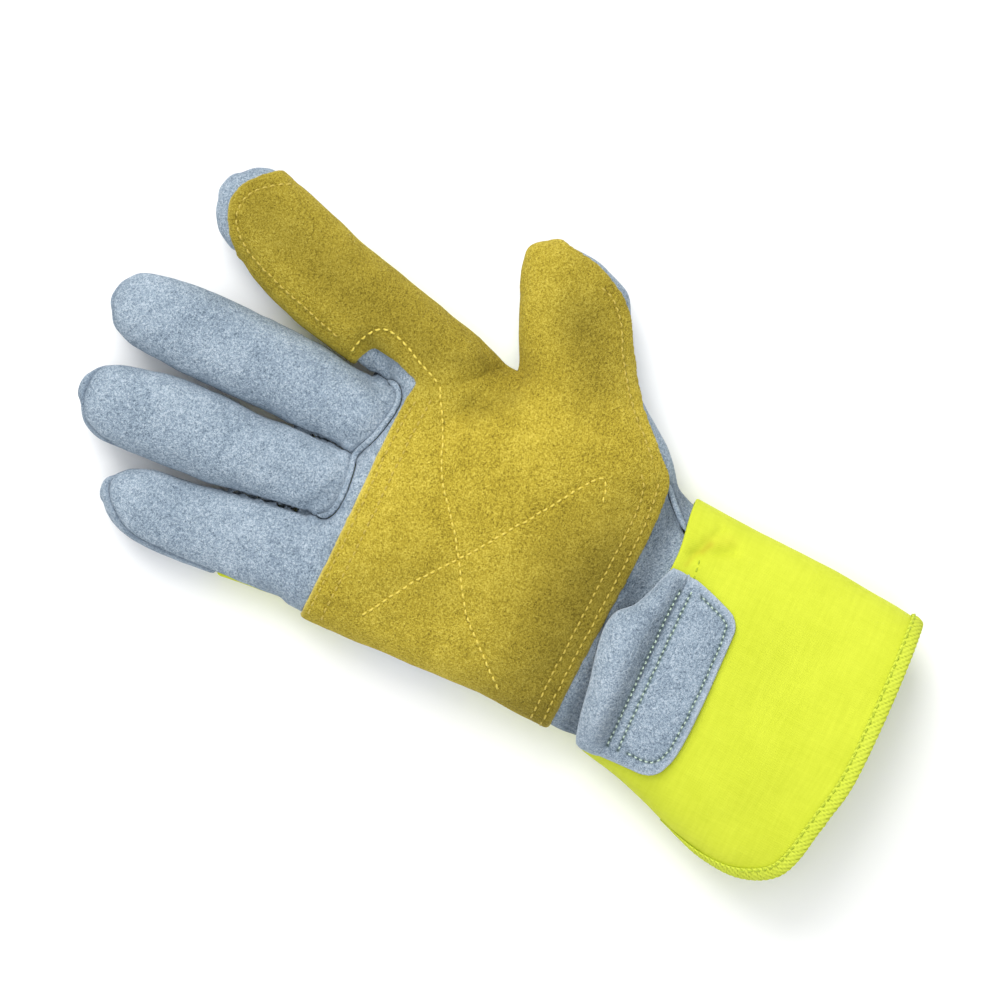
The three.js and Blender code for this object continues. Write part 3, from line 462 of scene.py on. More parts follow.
def facing(points, faces, out):
    """A surface's faces, turned to the side that out shows, and its normals there."""
    normals = normals_of(points, faces)
    if (normals * out).sum() < 0:
        return faces[:, ::-1], -normals
    return faces, normals


def facing_out(points, faces):
    """The faces of a closed mesh, turned outwards."""
    a, b, c = (points[faces[:, k]] for k in range(3))
    return faces if (a * np.cross(b, c)).sum() > 0 else faces[:, ::-1]


def numbers(rows, columns):
    return np.arange(rows * columns).reshape(rows, columns)


def grid_faces(i):
    """Two triangles in each cell of a table of point numbers."""
    a, b, c, d = i[:-1, :-1].ravel(), i[:-1, 1:].ravel(), i[1:, 1:].ravel(), i[1:, :-1].ravel()
    return np.vstack([np.column_stack([a, b, c]), np.column_stack([a, c, d])])


def ring_faces(i):
    """The same where each row of the table is a ring."""
    return grid_faces(np.column_stack([i, i[:, 0]]))


def clip(data, tris, s, both=False, snap=0.12):
    """The part of a surface where s is positive, or both parts, cut along the line where s is zero."""
    s = np.where(np.abs(s) < snap, 0.0, s)
    edges = np.sort(np.concatenate([tris[:, [0, 1]], tris[:, [1, 2]], tris[:, [2, 0]]]), axis=1)
    edges = np.unique(edges[s[edges[:, 0]] * s[edges[:, 1]] < 0], axis=0)
    count = len(data)
    code = edges[:, 0] * count + edges[:, 1]
    share = (s[edges[:, 0]] / (s[edges[:, 0]] - s[edges[:, 1]]))[:, None]
    fresh = data[edges[:, 0]] + share * (data[edges[:, 1]] - data[edges[:, 0]])

    def cut(i, j):
        return count + np.searchsorted(code, np.minimum(i, j) * count + np.maximum(i, j))

    def side(v, with_level):
        kept = (v[tris] >= 0).any(axis=1) if with_level else (v[tris] > 0).any(axis=1)
        kept &= ~((v[tris] <= 0).all(axis=1) & (v[tris] < 0).any(axis=1))
        t = tris[kept]
        below = v[t] < 0
        out = [t[below.sum(axis=1) == 0]]
        one = t[below.sum(axis=1) == 1]
        if len(one):
            k = below[below.sum(axis=1) == 1].argmax(axis=1)
            a, b, c = (one[np.arange(len(one)), (k + j) % 3] for j in (1, 2, 0))
            bc = np.where(v[b] == 0, b, cut(b, c))
            ca = np.where(v[a] == 0, a, cut(a, c))
            out += [np.column_stack([a, b, bc]), np.column_stack([a, bc, ca])]
        two = t[below.sum(axis=1) == 2]
        if len(two):
            k = below[below.sum(axis=1) == 2].argmin(axis=1)
            a, b, c = (two[np.arange(len(two)), (k + j) % 3] for j in (0, 1, 2))
            out.append(np.column_stack([a, cut(a, b), cut(a, c)]))
        t = np.vstack(out)
        return t[(t[:, 0] != t[:, 1]) & (t[:, 1] != t[:, 2]) & (t[:, 2] != t[:, 0])]

    faces = side(s, True)
    if both:
        faces = np.vstack([faces, side(-s, False)])
    return np.vstack([data, fresh]), faces


def compact(data, tris):
    used, flat = np.unique(tris, return_inverse=True)
    return data[used], flat.reshape(-1, 3)


def largest(data, tris):
    data, tris = compact(data, tris)
    label = np.arange(len(data))
    while True:
        low = label[tris].min(axis=1)
        fresh = label.copy()
        for k in range(3):
            np.minimum.at(fresh, tris[:, k], low)
        fresh = fresh[fresh]
        if (fresh == label).all():
            break
        label = fresh
    names, sizes = np.unique(label[tris[:, 0]], return_counts=True)
    return compact(data, tris[label[tris[:, 0]] == names[sizes.argmax()]])


def rim_edges(tris):
    """The directed edges that only one triangle has."""
    edges = np.concatenate([tris[:, [0, 1]], tris[:, [1, 2]], tris[:, [2, 0]]])
    ordered = np.sort(edges, axis=1)
    _, first, counts = np.unique(ordered, axis=0, return_index=True, return_counts=True)
    return edges[first[counts == 1]]


def distances(points, places):
    """Each point's distance to the nearest of the places."""
    tree = KDTree(len(places))
    for i, place in enumerate(places):
        tree.insert(place, i)
    tree.balance()
    return np.array([tree.find(p)[2] for p in points])


def plan(points):
    """Points without their height."""
    return np.pad(points[:, :2], ((0, 0), (0, 1)))


def edge_distance(points, tris):
    """Each point's distance to its surface's edge."""
    edges = rim_edges(tris)
    a, b = points[edges[:, 0]], points[edges[:, 1]]
    return distances(points, np.vstack([a + (b - a) * s for s in (0, 0.33, 0.67)]))


def make_object(name, points, tris, uv, material, attributes, sharp=None):
    mesh = bpy.data.meshes.new(name)
    mesh.vertices.add(len(points))
    mesh.vertices.foreach_set("co", (points * MM).astype(np.float32).ravel())
    mesh.loops.add(tris.size)
    mesh.loops.foreach_set("vertex_index", tris.astype(np.int32).ravel())
    mesh.polygons.add(len(tris))
    mesh.polygons.foreach_set("loop_start", np.arange(0, tris.size, 3, dtype=np.int32))
    mesh.polygons.foreach_set("use_smooth", np.ones(len(tris), bool))
    layer = mesh.uv_layers.new(name="UVMap")
    layer.data.foreach_set("uv", (uv[tris.ravel()] * MM).astype(np.float32).ravel())
    for key, values in attributes.items():
        mesh.attributes.new(key, "FLOAT", "POINT").data.foreach_set("value", values.astype(np.float32))
    mesh.update(calc_edges=True)
    if sharp is not None:
        pairs = np.empty(len(mesh.edges) * 2, np.int32)
        mesh.edges.foreach_get("vertices", pairs)
        ends = np.sort(pairs.reshape(-1, 2), axis=1).astype(np.int64)
        wanted = np.sort(sharp, axis=1).astype(np.int64)
        marks = np.isin(ends[:, 0] * len(points) + ends[:, 1], wanted[:, 0] * len(points) + wanted[:, 1])
        mesh.attributes.new("sharp_edge", "BOOLEAN", "EDGE").data.foreach_set("value", marks)
    mesh.validate()
    mesh.materials.append(material)
    piece = bpy.data.objects.new(name, mesh)
    bpy.context.scene.collection.objects.link(piece)
    return piece


def shell(name, data, tris, low, high, roll, drop, material,
          ground=0.02, fuzz=0.0, shades=(), rim_width=1.1, holes=()):
    """A closed piece of sheet over a surface, from one lift to another. It sinks by drop at its edges."""
    near = edge_distance(data[:, :3], tris)
    data = np.column_stack([data, near])
    for level in (0.3 * roll, roll):
        data, tris = clip(data, tris, data[:, -1] - level, both=True, snap=0.04)
        data, tris = compact(data, tris)
    near = data[:, -1]
    q = np.clip(near / roll, 0, 1)
    sink = drop * (1 - np.sqrt(np.clip(1 - (1 - q)**2, 0, 1)))
    n = unit(data[:, 3:6])
    rim = rim_edges(tris)
    top = data[:, :3] + n * (high - sink)[:, None]
    under = data[:, :3] + n * np.minimum(low, high - sink - THINNEST)[:, None]
    if fuzz:
        away = (fuzz * noise(top, 0.9, 5) * np.isin(np.arange(len(data)), rim))[:, None]
        side = np.column_stack([-n[:, 1], n[:, 0], n[:, 2] * 0])
        top = top + away * side
        under = under + away * side
    top[:, 2] = np.maximum(top[:, 2], ground)
    under[:, 2] = np.maximum(under[:, 2], ground + 0.15)
    count = len(data)
    a, b = rim.T
    faces = np.vstack([tris, tris[:, ::-1] + count, np.column_stack([b, a, a + count]),
                       np.column_stack([b, a + count, b + count])])
    edge = np.exp(-(near / rim_width)**2)
    uv = data[:, 6:8]
    # lit carries painted shade: the shade strokes darken the upward-facing side
    lit = 1 - np.clip(dent_depth(top[:, 0], top[:, 1], shades), 0, 0.6) * smoothstep(n[:, 2], -0.2, 0.4)
    hole = np.exp(-(distances(plan(top), plan(holes)) / HOLE)**2) if len(holes) else 0 * lit
    values = {"edge": edge, "lit": lit, "hole": hole}
    piece = make_object(name, np.vstack([top, under]), faces, np.vstack([uv, uv]), material,
                        {key: np.tile(value, 2) for key, value in values.items()},
                        sharp=np.vstack([rim, rim + count]))
    return piece, top, tris


# Materials

def srgb(*values):
    """A colour's 0 to 255 values in linear light."""
    shares = [v / 255 for v in values]
    return tuple(v / 12.92 if v <= 0.04045 else ((v + 0.055) / 1.055)**2.4 for v in shares) + (1.0,)


class Nodes:
    """A material's node tree, built by short calls."""

    def __init__(self, name):
        self.material = bpy.data.materials.new(name)
        self.material.use_nodes = True
        self.tree = self.material.node_tree
        self.tree.nodes.clear()
        self.output = self.tree.nodes.new("ShaderNodeOutputMaterial")
        self.shader = self.tree.nodes.new("ShaderNodeBsdfPrincipled")
        self.tree.links.new(self.shader.outputs[0], self.output.inputs[0])
        coordinates = self.tree.nodes.new("ShaderNodeTexCoord")
        self.place = coordinates.outputs["Object"]
        self.uv = coordinates.outputs["UV"]

    def link(self, value, socket):
        if hasattr(value, "is_output"):
            self.tree.links.new(value, socket)
        else:
            socket.default_value = value

    def noise(self, size_mm, detail=2.0, rough=0.55, vector=None, stretch=None):
        node = self.tree.nodes.new("ShaderNodeTexNoise")
        vector = vector or self.place
        if stretch:
            mapping = self.tree.nodes.new("ShaderNodeMapping")
            mapping.inputs["Scale"].default_value = stretch
            self.tree.links.new(vector, mapping.inputs["Vector"])
            vector = mapping.outputs[0]
        self.tree.links.new(vector, node.inputs["Vector"])
        node.inputs["Scale"].default_value = 1000 / size_mm
        node.inputs["Detail"].default_value = detail
        node.inputs["Roughness"].default_value = rough
        return node.outputs["Fac"]

    def math(self, operation, *values):
        node = self.tree.nodes.new("ShaderNodeMath")
        node.operation = operation
        for value, socket in zip(values, node.inputs):
            self.link(value, socket)
        return node.outputs[0]

    def wave(self, kind, value):
        return self.math("ABSOLUTE", self.math(kind, value))

    def total(self, *terms, start=0.0):
        """start plus each (value, weight) with the value counted from 0.5"""
        value = start
        for term, weight in terms:
            value = self.math("ADD", value, self.math("MULTIPLY", self.math("SUBTRACT", term, 0.5), weight))
        return value

    def attribute(self, name):
        node = self.tree.nodes.new("ShaderNodeAttribute")
        node.attribute_name = name
        return node.outputs["Fac"]

    def ramp(self, value, *stops):
        node = self.tree.nodes.new("ShaderNodeValToRGB")
        elements = node.color_ramp.elements
        while len(elements) < len(stops):
            elements.new(0.5)
        for element, (place, colour) in zip(elements, stops):
            element.position = place
            element.color = colour
        self.link(value, node.inputs[0])
        return node.outputs[0]

    def mix(self, share, a, b, kind="MIX"):
        node = self.tree.nodes.new("ShaderNodeMix")
        node.data_type = "RGBA"
        node.blend_type = kind
        self.link(share, node.inputs[0])
        self.link(a, node.inputs[6])
        self.link(b, node.inputs[7])
        return node.outputs[2]

    def bump(self, height, depth_mm):
        node = self.tree.nodes.new("ShaderNodeBump")
        node.inputs["Strength"].default_value = 1.0
        node.inputs["Distance"].default_value = depth_mm * MM
        self.tree.links.new(height, node.inputs["Height"])
        return node.outputs[0]

    def finish(self, colour, normal, roughness=0.95, sheen=0.0, sheen_tint=(1, 1, 1, 1), specular=0.2):
        self.link(colour, self.shader.inputs["Base Color"])
        if normal is not None:
            self.link(normal, self.shader.inputs["Normal"])
        self.shader.inputs["Roughness"].default_value = roughness
        self.shader.inputs["Specular IOR Level"].default_value = specular
        self.shader.inputs["Sheen Weight"].default_value = sheen
        self.shader.inputs["Sheen Roughness"].default_value = 0.5
        self.shader.inputs["Sheen Tint"].default_value = sheen_tint
        return self.material


# painted shade in the stitch holes, a dark green
STITCH_HOLE_SHADE = srgb(40, 66, 52)


def suede(name, dark, mid, light, edge_colour, clumping=0.5, edge_share=0.55):
    """Split leather: a short nap that lies in patches, with fine light and dark fibres."""
    n = Nodes(name)
    patches = n.noise(26, 3, 0.5)
    lay = n.noise(7, 3, 0.55)
    clumps = n.noise(1.9, 3, 0.6)
    nap = n.noise(0.75, 2, 0.6)
    fibres = n.noise(0.36, 1, 0.5)
    tone = n.total((patches, 0.5), (lay, 0.4), (clumps, clumping), (nap, 1.2), (fibres, 1.2), start=0.5)
    colour = n.ramp(tone, (0.0, dark), (0.5, mid), (1.0, light))
    # edge_colour tints a piece's edges: on cut edges a lighter worn edge, on turned seams a painted shade
    colour = n.mix(n.math("MULTIPLY", n.attribute("edge"), edge_share), colour, edge_colour)
    # the lit attribute multiplies painted shade into the colour
    colour = n.mix(1.0, colour, n.attribute("lit"), "MULTIPLY")
    # painted shade in the stitch holes
    colour = n.mix(n.math("MULTIPLY", n.attribute("hole"), 0.92), colour, STITCH_HOLE_SHADE)
    relief = n.total((clumps, 0.8), (nap, 1.0), (fibres, 0.5), (lay, 0.8), start=0.5)
    return n.finish(colour, n.bump(relief, 0.55), 0.96, 0.2, light)


def woven(name, dark, light, shade, pitch=0.62):
    """A plain weave of flat yarns with slubs, in the UV map's metres."""
    n = Nodes(name)
    split = n.tree.nodes.new("ShaderNodeSeparateXYZ")
    n.tree.links.new(n.uv, split.inputs[0])
    across, along = (n.math("MULTIPLY", split.outputs[k], math.pi / (pitch * MM)) for k in (0, 1))
    warp = n.math("MULTIPLY", n.wave("SINE", across), n.wave("COSINE", along))
    weft = n.math("MULTIPLY", n.wave("COSINE", across), n.wave("SINE", along))
    weave = n.math("MAXIMUM", warp, weft)
    slubs = n.noise(1.4, 2, 0.6, n.uv, (0.12, 1, 1))
    warp_slubs = n.noise(1.4, 2, 0.6, n.uv, (1, 0.12, 1))
    cloud = n.noise(30, 2)
    tone = n.total((weave, 0.14), (slubs, 0.5), (warp_slubs, 0.35), (cloud, 0.7), start=0.5)
    colour = n.ramp(tone, (0.0, dark), (1.0, light))
    # painted shade: where lit is low the colour goes toward the shade colour, in the cuff's folds
    colour = n.mix(n.attribute("lit"), shade, colour)
    relief = n.total((weave, 1.0), (slubs, 0.8), (warp_slubs, 0.5), start=0.5)
    return n.finish(colour, n.bump(relief, 0.11), 0.75, 0.12, light, 0.25)


def tape(name, groove, dark, light):
    """Twill tape: its ribs are modelled, and the grooves between them hold the shade."""
    n = Nodes(name)
    fine = n.noise(0.5, 2, 0.6)
    broad = n.noise(6, 2)
    tone = n.total((fine, 0.9), (broad, 0.5), start=0.5)
    colour = n.ramp(tone, (0.0, dark), (1.0, light))
    colour = n.mix(n.math("MULTIPLY", n.attribute("edge"), 0.75), colour, groove)
    return n.finish(colour, n.bump(fine, 0.2), 0.85, 0.15, light, 0.2)


def thread(name, dark, light):
    n = Nodes(name)
    fine = n.noise(0.3, 1)
    colour = n.ramp(fine, (0.3, dark), (0.7, light))
    return n.finish(colour, n.bump(fine, 0.1), 0.55, 0.2, light, 0.4)


GREY_TONES = srgb(84, 100, 116), srgb(140, 156, 171), srgb(190, 202, 213)
# The plain grey's edges darken along the turned seams: painted shade.
GREY = suede("grey_suede", *GREY_TONES, srgb(104, 119, 136), edge_share=0.5)
GREY_CUT = suede("grey_suede_cut", *GREY_TONES, srgb(186, 197, 209))
GOLD_TONES = srgb(118, 100, 24), srgb(180, 160, 52), srgb(220, 200, 86)
GOLD = suede("gold_suede", *GOLD_TONES, srgb(224, 206, 116), clumping=0.2, edge_share=0.75)
# the last colour is the painted shade of the cuff's folds
FABRIC = woven("hi_vis_fabric", srgb(184, 195, 36), srgb(212, 221, 62), srgb(170, 120, 20))
TAPE = tape("binding_tape", srgb(116, 130, 20), srgb(190, 202, 50), srgb(214, 226, 80))
GOLD_THREAD = thread("gold_thread", srgb(206, 184, 60), srgb(228, 210, 100))
DULL_THREAD = thread("gold_edge_thread", srgb(172, 152, 54), srgb(198, 178, 80))
PATCH_THREAD = thread("patch_thread", srgb(176, 200, 178), srgb(206, 222, 204))
CUFF_THREAD = thread("cuff_thread", srgb(150, 168, 30), srgb(186, 202, 52))


# The hand's surface, with its undulations, creases and stitch grooves

points, tris = hand_skin()
PALM_LINES = [smooth_line(row) for row in PALM_ROWS]


def relief(p, n):
    """How far the skin rises along its normals."""
    up = smoothstep(n[:, 2], -0.1, 0.5)
    resting = smoothstep(p[:, 2], 1.5, 9)
    lumps = 0.42 * noise(p, 17, 1) + 0.26 * noise(p, 7.5, 2) + 0.12 * noise(p, 3.6, 3)
    depth = -dent_depth(p[:, 0], p[:, 1], CREASES) * up
    for line in PALM_LINES:
        depth -= up * stitched_in(p[:, :2], line, **PALM_PULL)
    x0, y0, reach, rise, fall = FLUSH
    window = np.exp(-((p[:, 0] - x0)**2 + (p[:, 1] - y0)**2) / reach**2)
    under_gold = smoothstep(inside(p[:, :2], np.array(DOUBLE_PALM)), -1.2, 0.4)
    return lumps * (0.3 + 0.7 * resting) + depth + window * (rise + (fall - rise) * under_gold)


shape = normals_of(points, tris)
points = points + shape * relief(points, shape)[:, None]
shape = normals_of(points, tris)
SKIN = np.column_stack([points, shape, points[:, :2]])
XY = points[:, :2]
side_height = eased(*SIDE_SEAM.T, points[:, 1]) + dent_depth(points[:, 0], points[:, 1], SEAM_RISES)
above_seam = points[:, 2] - side_height


def closeness(limb):
    """About how far each point of the skin lies from a limb's middle."""
    rho, _ = limb_rho(limb, *points.T)
    return rho * HALF_FINGER


def nearest_to(limb, others):
    """Positive where the skin is nearer to this finger than to its neighbours."""
    return np.minimum.reduce([closeness(other) - closeness(limb) for other in others]) / 2


past_root = smoothstep(XY[:, 1], *PAST_ROOTS)
ring_region, middle_region = (
    (1 - past_root) * inside(XY, np.vstack([smooth_line(root), sides])) + past_root * nearest_to(limb, others)
    for root, sides, limb, others in (
        (RING_ROOT, RING_SIDES, RING, [LITTLE, MIDDLE]), (MIDDLE_ROOT, MIDDLE_SIDES, MIDDLE, [RING, INDEX])))
thumb_region = inside(XY, np.vstack([smooth_line(THUMB_ROOT), [(95, -72), (95, 40), (44, 30)]]))
wrist_end = points[:, 1] - WRIST_END
HALF = SEAM_GAP / 2
under_welts = 20 * (points[:, 2] < 15)  # the welts slit the palm's side alone
clear_of_welts = np.minimum.reduce([
    line_reach(XY, smooth_line(line))[0] - WELT_SLIT + under_welts for line in (FINGER_WELT, THUMB_WELT)])


def part(*scalars):
    """The skin where every one of these distances is positive."""
    return np.minimum.reduce([*scalars, wrist_end, clear_of_welts])


panels = {
    "palm_leather": part(above_seam - HALF, -ring_region - HALF, -middle_region - HALF, -thumb_region - HALF),
    "ring_finger_front": part(above_seam - HALF, ring_region - HALF),
    "middle_finger_front": part(above_seam - HALF, middle_region - HALF),
    "thumb_leather": part(thumb_region - HALF),
}
back = part(-above_seam - HALF, -thumb_region - HALF)
body = back
for name, (limb, others, seam) in FINGERTIPS.items():
    seam = smooth_line(seam)
    beyond = inside(XY, np.vstack([seam, [(seam[-1][0], 140), (seam[0][0], 140)]]))
    beyond = np.minimum(beyond, nearest_to(limb, others))
    panels[name] = np.minimum(back, beyond - HALF)
    body = np.minimum(body, -beyond - HALF)
panels["back_fabric"] = body

pieces = {}


def put(piece, node):
    """Lets a piece stand for a node: hides the node's part and keeps the piece."""
    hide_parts(node)
    pieces[node] = piece


for name, scalar in panels.items():
    data, faces = largest(*clip(SKIN, tris, scalar, snap=0.07))
    fabric = name == "back_fabric"
    piece, outside, outside_faces = shell(
        name + "_dressed", data, faces, -LEATHER, 0, SEAM_ROLL, SEAM_DROP, FABRIC if fabric else GREY,
        shades=GREY_PAINTED_SHADES)
    put(piece, name)

# The double palm and the knuckle strap

on_index_side = closeness(MIDDLE) - closeness(INDEX)
near_palm = INDEX_ALONE - points[:, 1]
double = np.minimum.reduce([
    inside(XY, rounded(DOUBLE_PALM, 1.6)), above_seam - DOUBLE_PALM_WRAP, wrist_end,
    np.maximum(on_index_side, near_palm)])
data, faces = largest(*clip(SKIN, tris, double))
for row in PALM_LINES:
    away, _ = line_reach(data[:, :2], row)
    data = np.column_stack([data, away])
    data, faces = clip(data, faces, data[:, -1] - GROOVE_EDGE, both=True, snap=0.1)
    data, faces = compact(data[:, :8], faces)
gold, gold_top, gold_faces = shell(
    "double_palm_dressed", data, faces, LAYER_GAP, LAYER_GAP + OVERLAY, 2.2, 0.9, GOLD, fuzz=0.18,
    shades=GOLD_PAINTED_SHADES, rim_width=0.5)
put(gold, "double_palm")

strap = np.minimum.reduce([points[:, 1] - STRAP["start"], STRAP["stop"] - points[:, 1],
                           STRAP["high"] - points[:, 2], STRAP["right"] - points[:, 0]])
data, faces = largest(*clip(SKIN, tris, strap))
knuckle, _, _ = shell(
    "knuckle_strap_dressed", data, faces, LAYER_GAP, LAYER_GAP + OVERLAY, 0.6, 0.5, GREY_CUT, ground=0.0)
put(knuckle, "knuckle_strap")

# The cuff

def power(value, exponent):
    return np.sign(value) * np.abs(value)**exponent


def on_middle(rows, t, angle):
    """The middle of the cuff's sheet at -y = t, before the mouth's bow, and at an angle up from the thumb."""
    left, right, high, _ = (eased(rows[:, 0], rows[:, k], t) for k in (1, 2, 3, 4))
    inset = CUFF_SHEET / 2
    across, tall = (left + right) / 2 - inset, (high - CUFF_LOW) / 2 - inset
    s, c = power(np.sin(angle), 2 / ROUNDNESS), power(np.cos(angle), 2 / ROUNDNESS)
    z = (high + CUFF_LOW) / 2 + tall * s * np.where(s < 0, BELLY, 1)
    floor = CUFF_LOW + inset
    soft = np.maximum(1.0 - np.abs(z - floor), 0)
    z = np.maximum(z, floor) + soft**2 / 4 * (np.abs(s) > 0)
    dip, at, width = MOUTH_DIP
    mouth = MOUTH_BOW * (1 - c**2) - dip * np.exp(-((c - at) / width)**2)
    wrist = WRIST_CORNER * smoothstep(c, 0.55, 0.97) * (1 - smoothstep(t, 54, 68))
    past = np.maximum(t - rows[-1, 0], 0) + np.minimum(t - rows[0, 0], 0)
    y = -np.clip(t, rows[0, 0], rows[-1, 0]) - past - smoothstep(t, 100, 127) * mouth + wrist
    return np.stack([(right - left) / 2 + across * c, y, z], axis=-1)


def sheet_slopes(rows, t, angle):
    """How the sheet's middle moves with t, and with the angle."""
    return [(on_middle(rows, t + dt, angle + da) - on_middle(rows, t - dt, angle - da)) / (2 * TINY)
            for dt, da in ((TINY, 0), (0, TINY))]


def on_sheet(rows, t, angle, lift=0.0):
    """Places on the cuff's sheet, lifted off its middle, and the way out there."""
    by_t, by_angle = sheet_slopes(rows, t, angle)
    out = unit(np.cross(by_angle, by_t))
    return on_middle(rows, t, angle) + out * np.asarray(lift)[..., None], out


def slit_angle(t):
    """The angle at which the slit's upper edge lies."""
    high, gap = (eased(CUFF[:, 0], CUFF[:, k], t) for k in (3, 4))
    return math.pi - np.arcsin((gap / ((high - CUFF_LOW) / 2))**(ROUNDNESS / 2))


def even_angles(rows, t, limit, count):
    """Angles from limit to -limit, evenly spaced along the sheet's section at t."""
    fine = np.linspace(limit, -limit, 2400)
    p = on_middle(rows, np.full_like(fine, t), fine)
    run = lengths_along(p)
    return np.interp(np.linspace(0, run[-1], count), run, fine), run[-1]


# Folds of the cuff's upper side: x0, y0, x1, y1, width, depth
CUFF_FOLDS = [
    (7, -57.5, 13, -68, 2.0, 1.5), (9, -58, 16.5, -62, 1.8, 0.9), (11, -66, 12, -76, 4, 0.8),
    (3, -58, 0, -66, 3, 0.5), (-45, -92, -20, -97, 9, 0.7), (-8, -100, 6, -112, 9, 0.7),
    (-60, -104, -48, -112, 8, 0.8), (12, -84, 15, -98, 6, 0.5)]

across_count, along_count = ((320, 130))
cuff_rows, widths = [], []
for t in np.linspace(CUFF[0, 0], CUFF[-1, 0], along_count):
    angles, run = even_angles(CUFF, t, float(slit_angle(t)), across_count)
    place, out = on_sheet(CUFF, np.full(across_count, t), angles)
    u = np.linspace(-run / 2, run / 2, across_count)
    cuff_rows.append(np.column_stack([place, out, u, np.full(across_count, -t)]))
    widths.append(run)
data = np.vstack(cuff_rows)
faces = grid_faces(numbers(along_count, across_count))
up = smoothstep(data[:, 5], 0.0, 0.6)
resting = smoothstep(data[:, 2], 2.5, 10)
lift = -dent_depth(data[:, 0], data[:, 1], CUFF_FOLDS) * up
lift += resting * (0.5 * noise(data[:, :3], 24, 11) + 0.16 * noise(data[:, :3], 8, 12))
held = smoothstep(-data[:, 7], 121.5, 126.5)
lift *= 1 - 0.9 * held
data[:, :3] += data[:, 3:6] * lift[:, None]
faces, data[:, 3:6] = facing(data[:, :3], faces, np.vstack(cuff_rows)[:, 3:6])
cuff, cuff_top, cuff_faces = shell(
    "cuff_dressed", data, faces, -CUFF_SHEET / 2, CUFF_SHEET / 2, 0.7, 0.45, FABRIC, shades=CUFF_PAINTED_SHADES)
put(cuff, "cuff")

# The binding: a twill tape folded over the cuff's free edge

fine_t = BINDING_FROM + (CUFF[-1, 0] - BINDING_FROM) * (1 - (1 - np.linspace(0, 1, 400))**1.6)
slit = np.column_stack([fine_t, slit_angle(fine_t)])
mouth = np.column_stack([np.full(1200, CUFF[-1, 0]), np.linspace(slit[-1, 1], -slit[-1, 1], 1200)])
edge_path = np.vstack([slit, mouth[1:-1], slit[::-1] * [1, -1]])
run = lengths_along(on_middle(CUFF, *edge_path.T))
count = int(run[-1] / (0.42))
even = np.linspace(0, run[-1], count)
path = np.column_stack([np.interp(even, run, edge_path[:, 0]), np.interp(even, run, edge_path[:, 1])])
place, out = on_sheet(CUFF, path[:, 0], path[:, 1])
ahead = np.gradient(place, axis=0)
for _ in range(6):
    ahead[1:-1] = (ahead[:-2] + ahead[1:-1] + ahead[2:]) / 3
inwards = unit(np.cross(out, ahead))
by_t, by_a = sheet_slopes(CUFF, path[:, 0], path[:, 1])
tt, ta, aa = (by_t * by_t).sum(1), (by_t * by_a).sum(1), (by_a * by_a).sum(1)
dt, da = (by_t * inwards).sum(1), (by_a * inwards).sum(1)
step_t = (dt * aa - da * ta) / (tt * aa - ta * ta)
step_a = (da * tt - dt * ta) / (tt * aa - ta * ta)
SECTION = [
    (3.1, 0.9), (3.25, 1.2), (3.0, 1.45), (2.4, 1.55), (1.6, 1.6), (0.8, 1.6), (0.0, 1.55), (-0.6, 1.35),
    (-1.05, 0.95), (-1.25, 0.4), (-1.25, -0.4), (-1.05, -0.95), (-0.6, -1.3), (0.0, -1.5), (0.8, -1.5),
    (1.6, -1.5), (2.4, -1.5), (3.0, -1.4), (3.25, -1.2), (3.1, -0.9), (0.3, -0.8), (0.3, 0.8)]
INNER_POINTS = 2  # the section's last points, which face the cuff's edge
TAPER = 30  # the tape narrows over this length at its ends
from_end = np.minimum(even, even[-1] - even)
narrow = 0.25 + 0.75 * smoothstep(from_end, 0, TAPER)
thin = 0.15 + 0.85 * smoothstep(from_end, 0, TAPER / 2)
RIB = 1.9  # distance between the tape's ribs
SEWN = 2.6  # the stitch row's distance from the cuff's edge
tape_rings, groove_rings = [], []
for k, (reach, side) in enumerate(SECTION):
    outer = k < len(SECTION) - INNER_POINTS
    girth = reach if side > 0 else 2.4 - reach
    ridge = 0.36 * np.abs(np.sin(math.pi * (even + girth * 1.15) / RIB)) - 0.18 if outer else 0.0 * even
    groove_rings.append(np.clip(1 - (ridge + 0.18) / 0.22, 0, 1) if outer else 1.0 + 0 * even)
    held_on = np.exp(-((reach - SEWN) / 0.45)**2) * 0.3 if outer and reach > 0 else 0.0
    floor_lift = min(abs(side), 0.75)
    lift = np.sign(side) * (floor_lift + (abs(side) - floor_lift + ridge - held_on) * thin)
    if reach > 0:
        deep = reach * narrow
        q, _ = on_sheet(CUFF, path[:, 0] + step_t * deep, path[:, 1] + step_a * deep, lift)
    else:
        q = place + inwards * ((reach - ridge * 0.5) * thin)[:, None] + out * lift[:, None]
    q[:, 2] = np.maximum(q[:, 2], 0.0)
    tape_rings.append(q)
tape_points = np.stack(tape_rings, axis=1)
ring_size = len(SECTION)
i = numbers(count, ring_size)
flat = tape_points.reshape(-1, 3)
ends = [np.column_stack([np.full(ring_size - 2, ring[0]), ring[1:-1], ring[2:]])
        for ring in (i[0][::-1], i[-1])]
faces = facing_out(flat, np.vstack([ring_faces(i)] + ends))
uv = np.column_stack([np.repeat(even, ring_size), np.tile([s[0] + s[1] for s in SECTION], count)])
binding = make_object("cuff_binding_dressed", flat, faces, uv, TAPE,
                      {"edge": np.stack(groove_rings, axis=1).ravel()})
put(binding, "cuff_binding")

# The wrist patch

PATCH_PITCH = 1.75


def stitch_ends(line, pitch):
    """Where a row's stitches go through, in plan."""
    run = lengths_along(line)
    s = np.arange(0, run[-1], pitch)
    return np.column_stack([np.interp(s, run, line[:, 0]), np.interp(s, run, line[:, 1])])


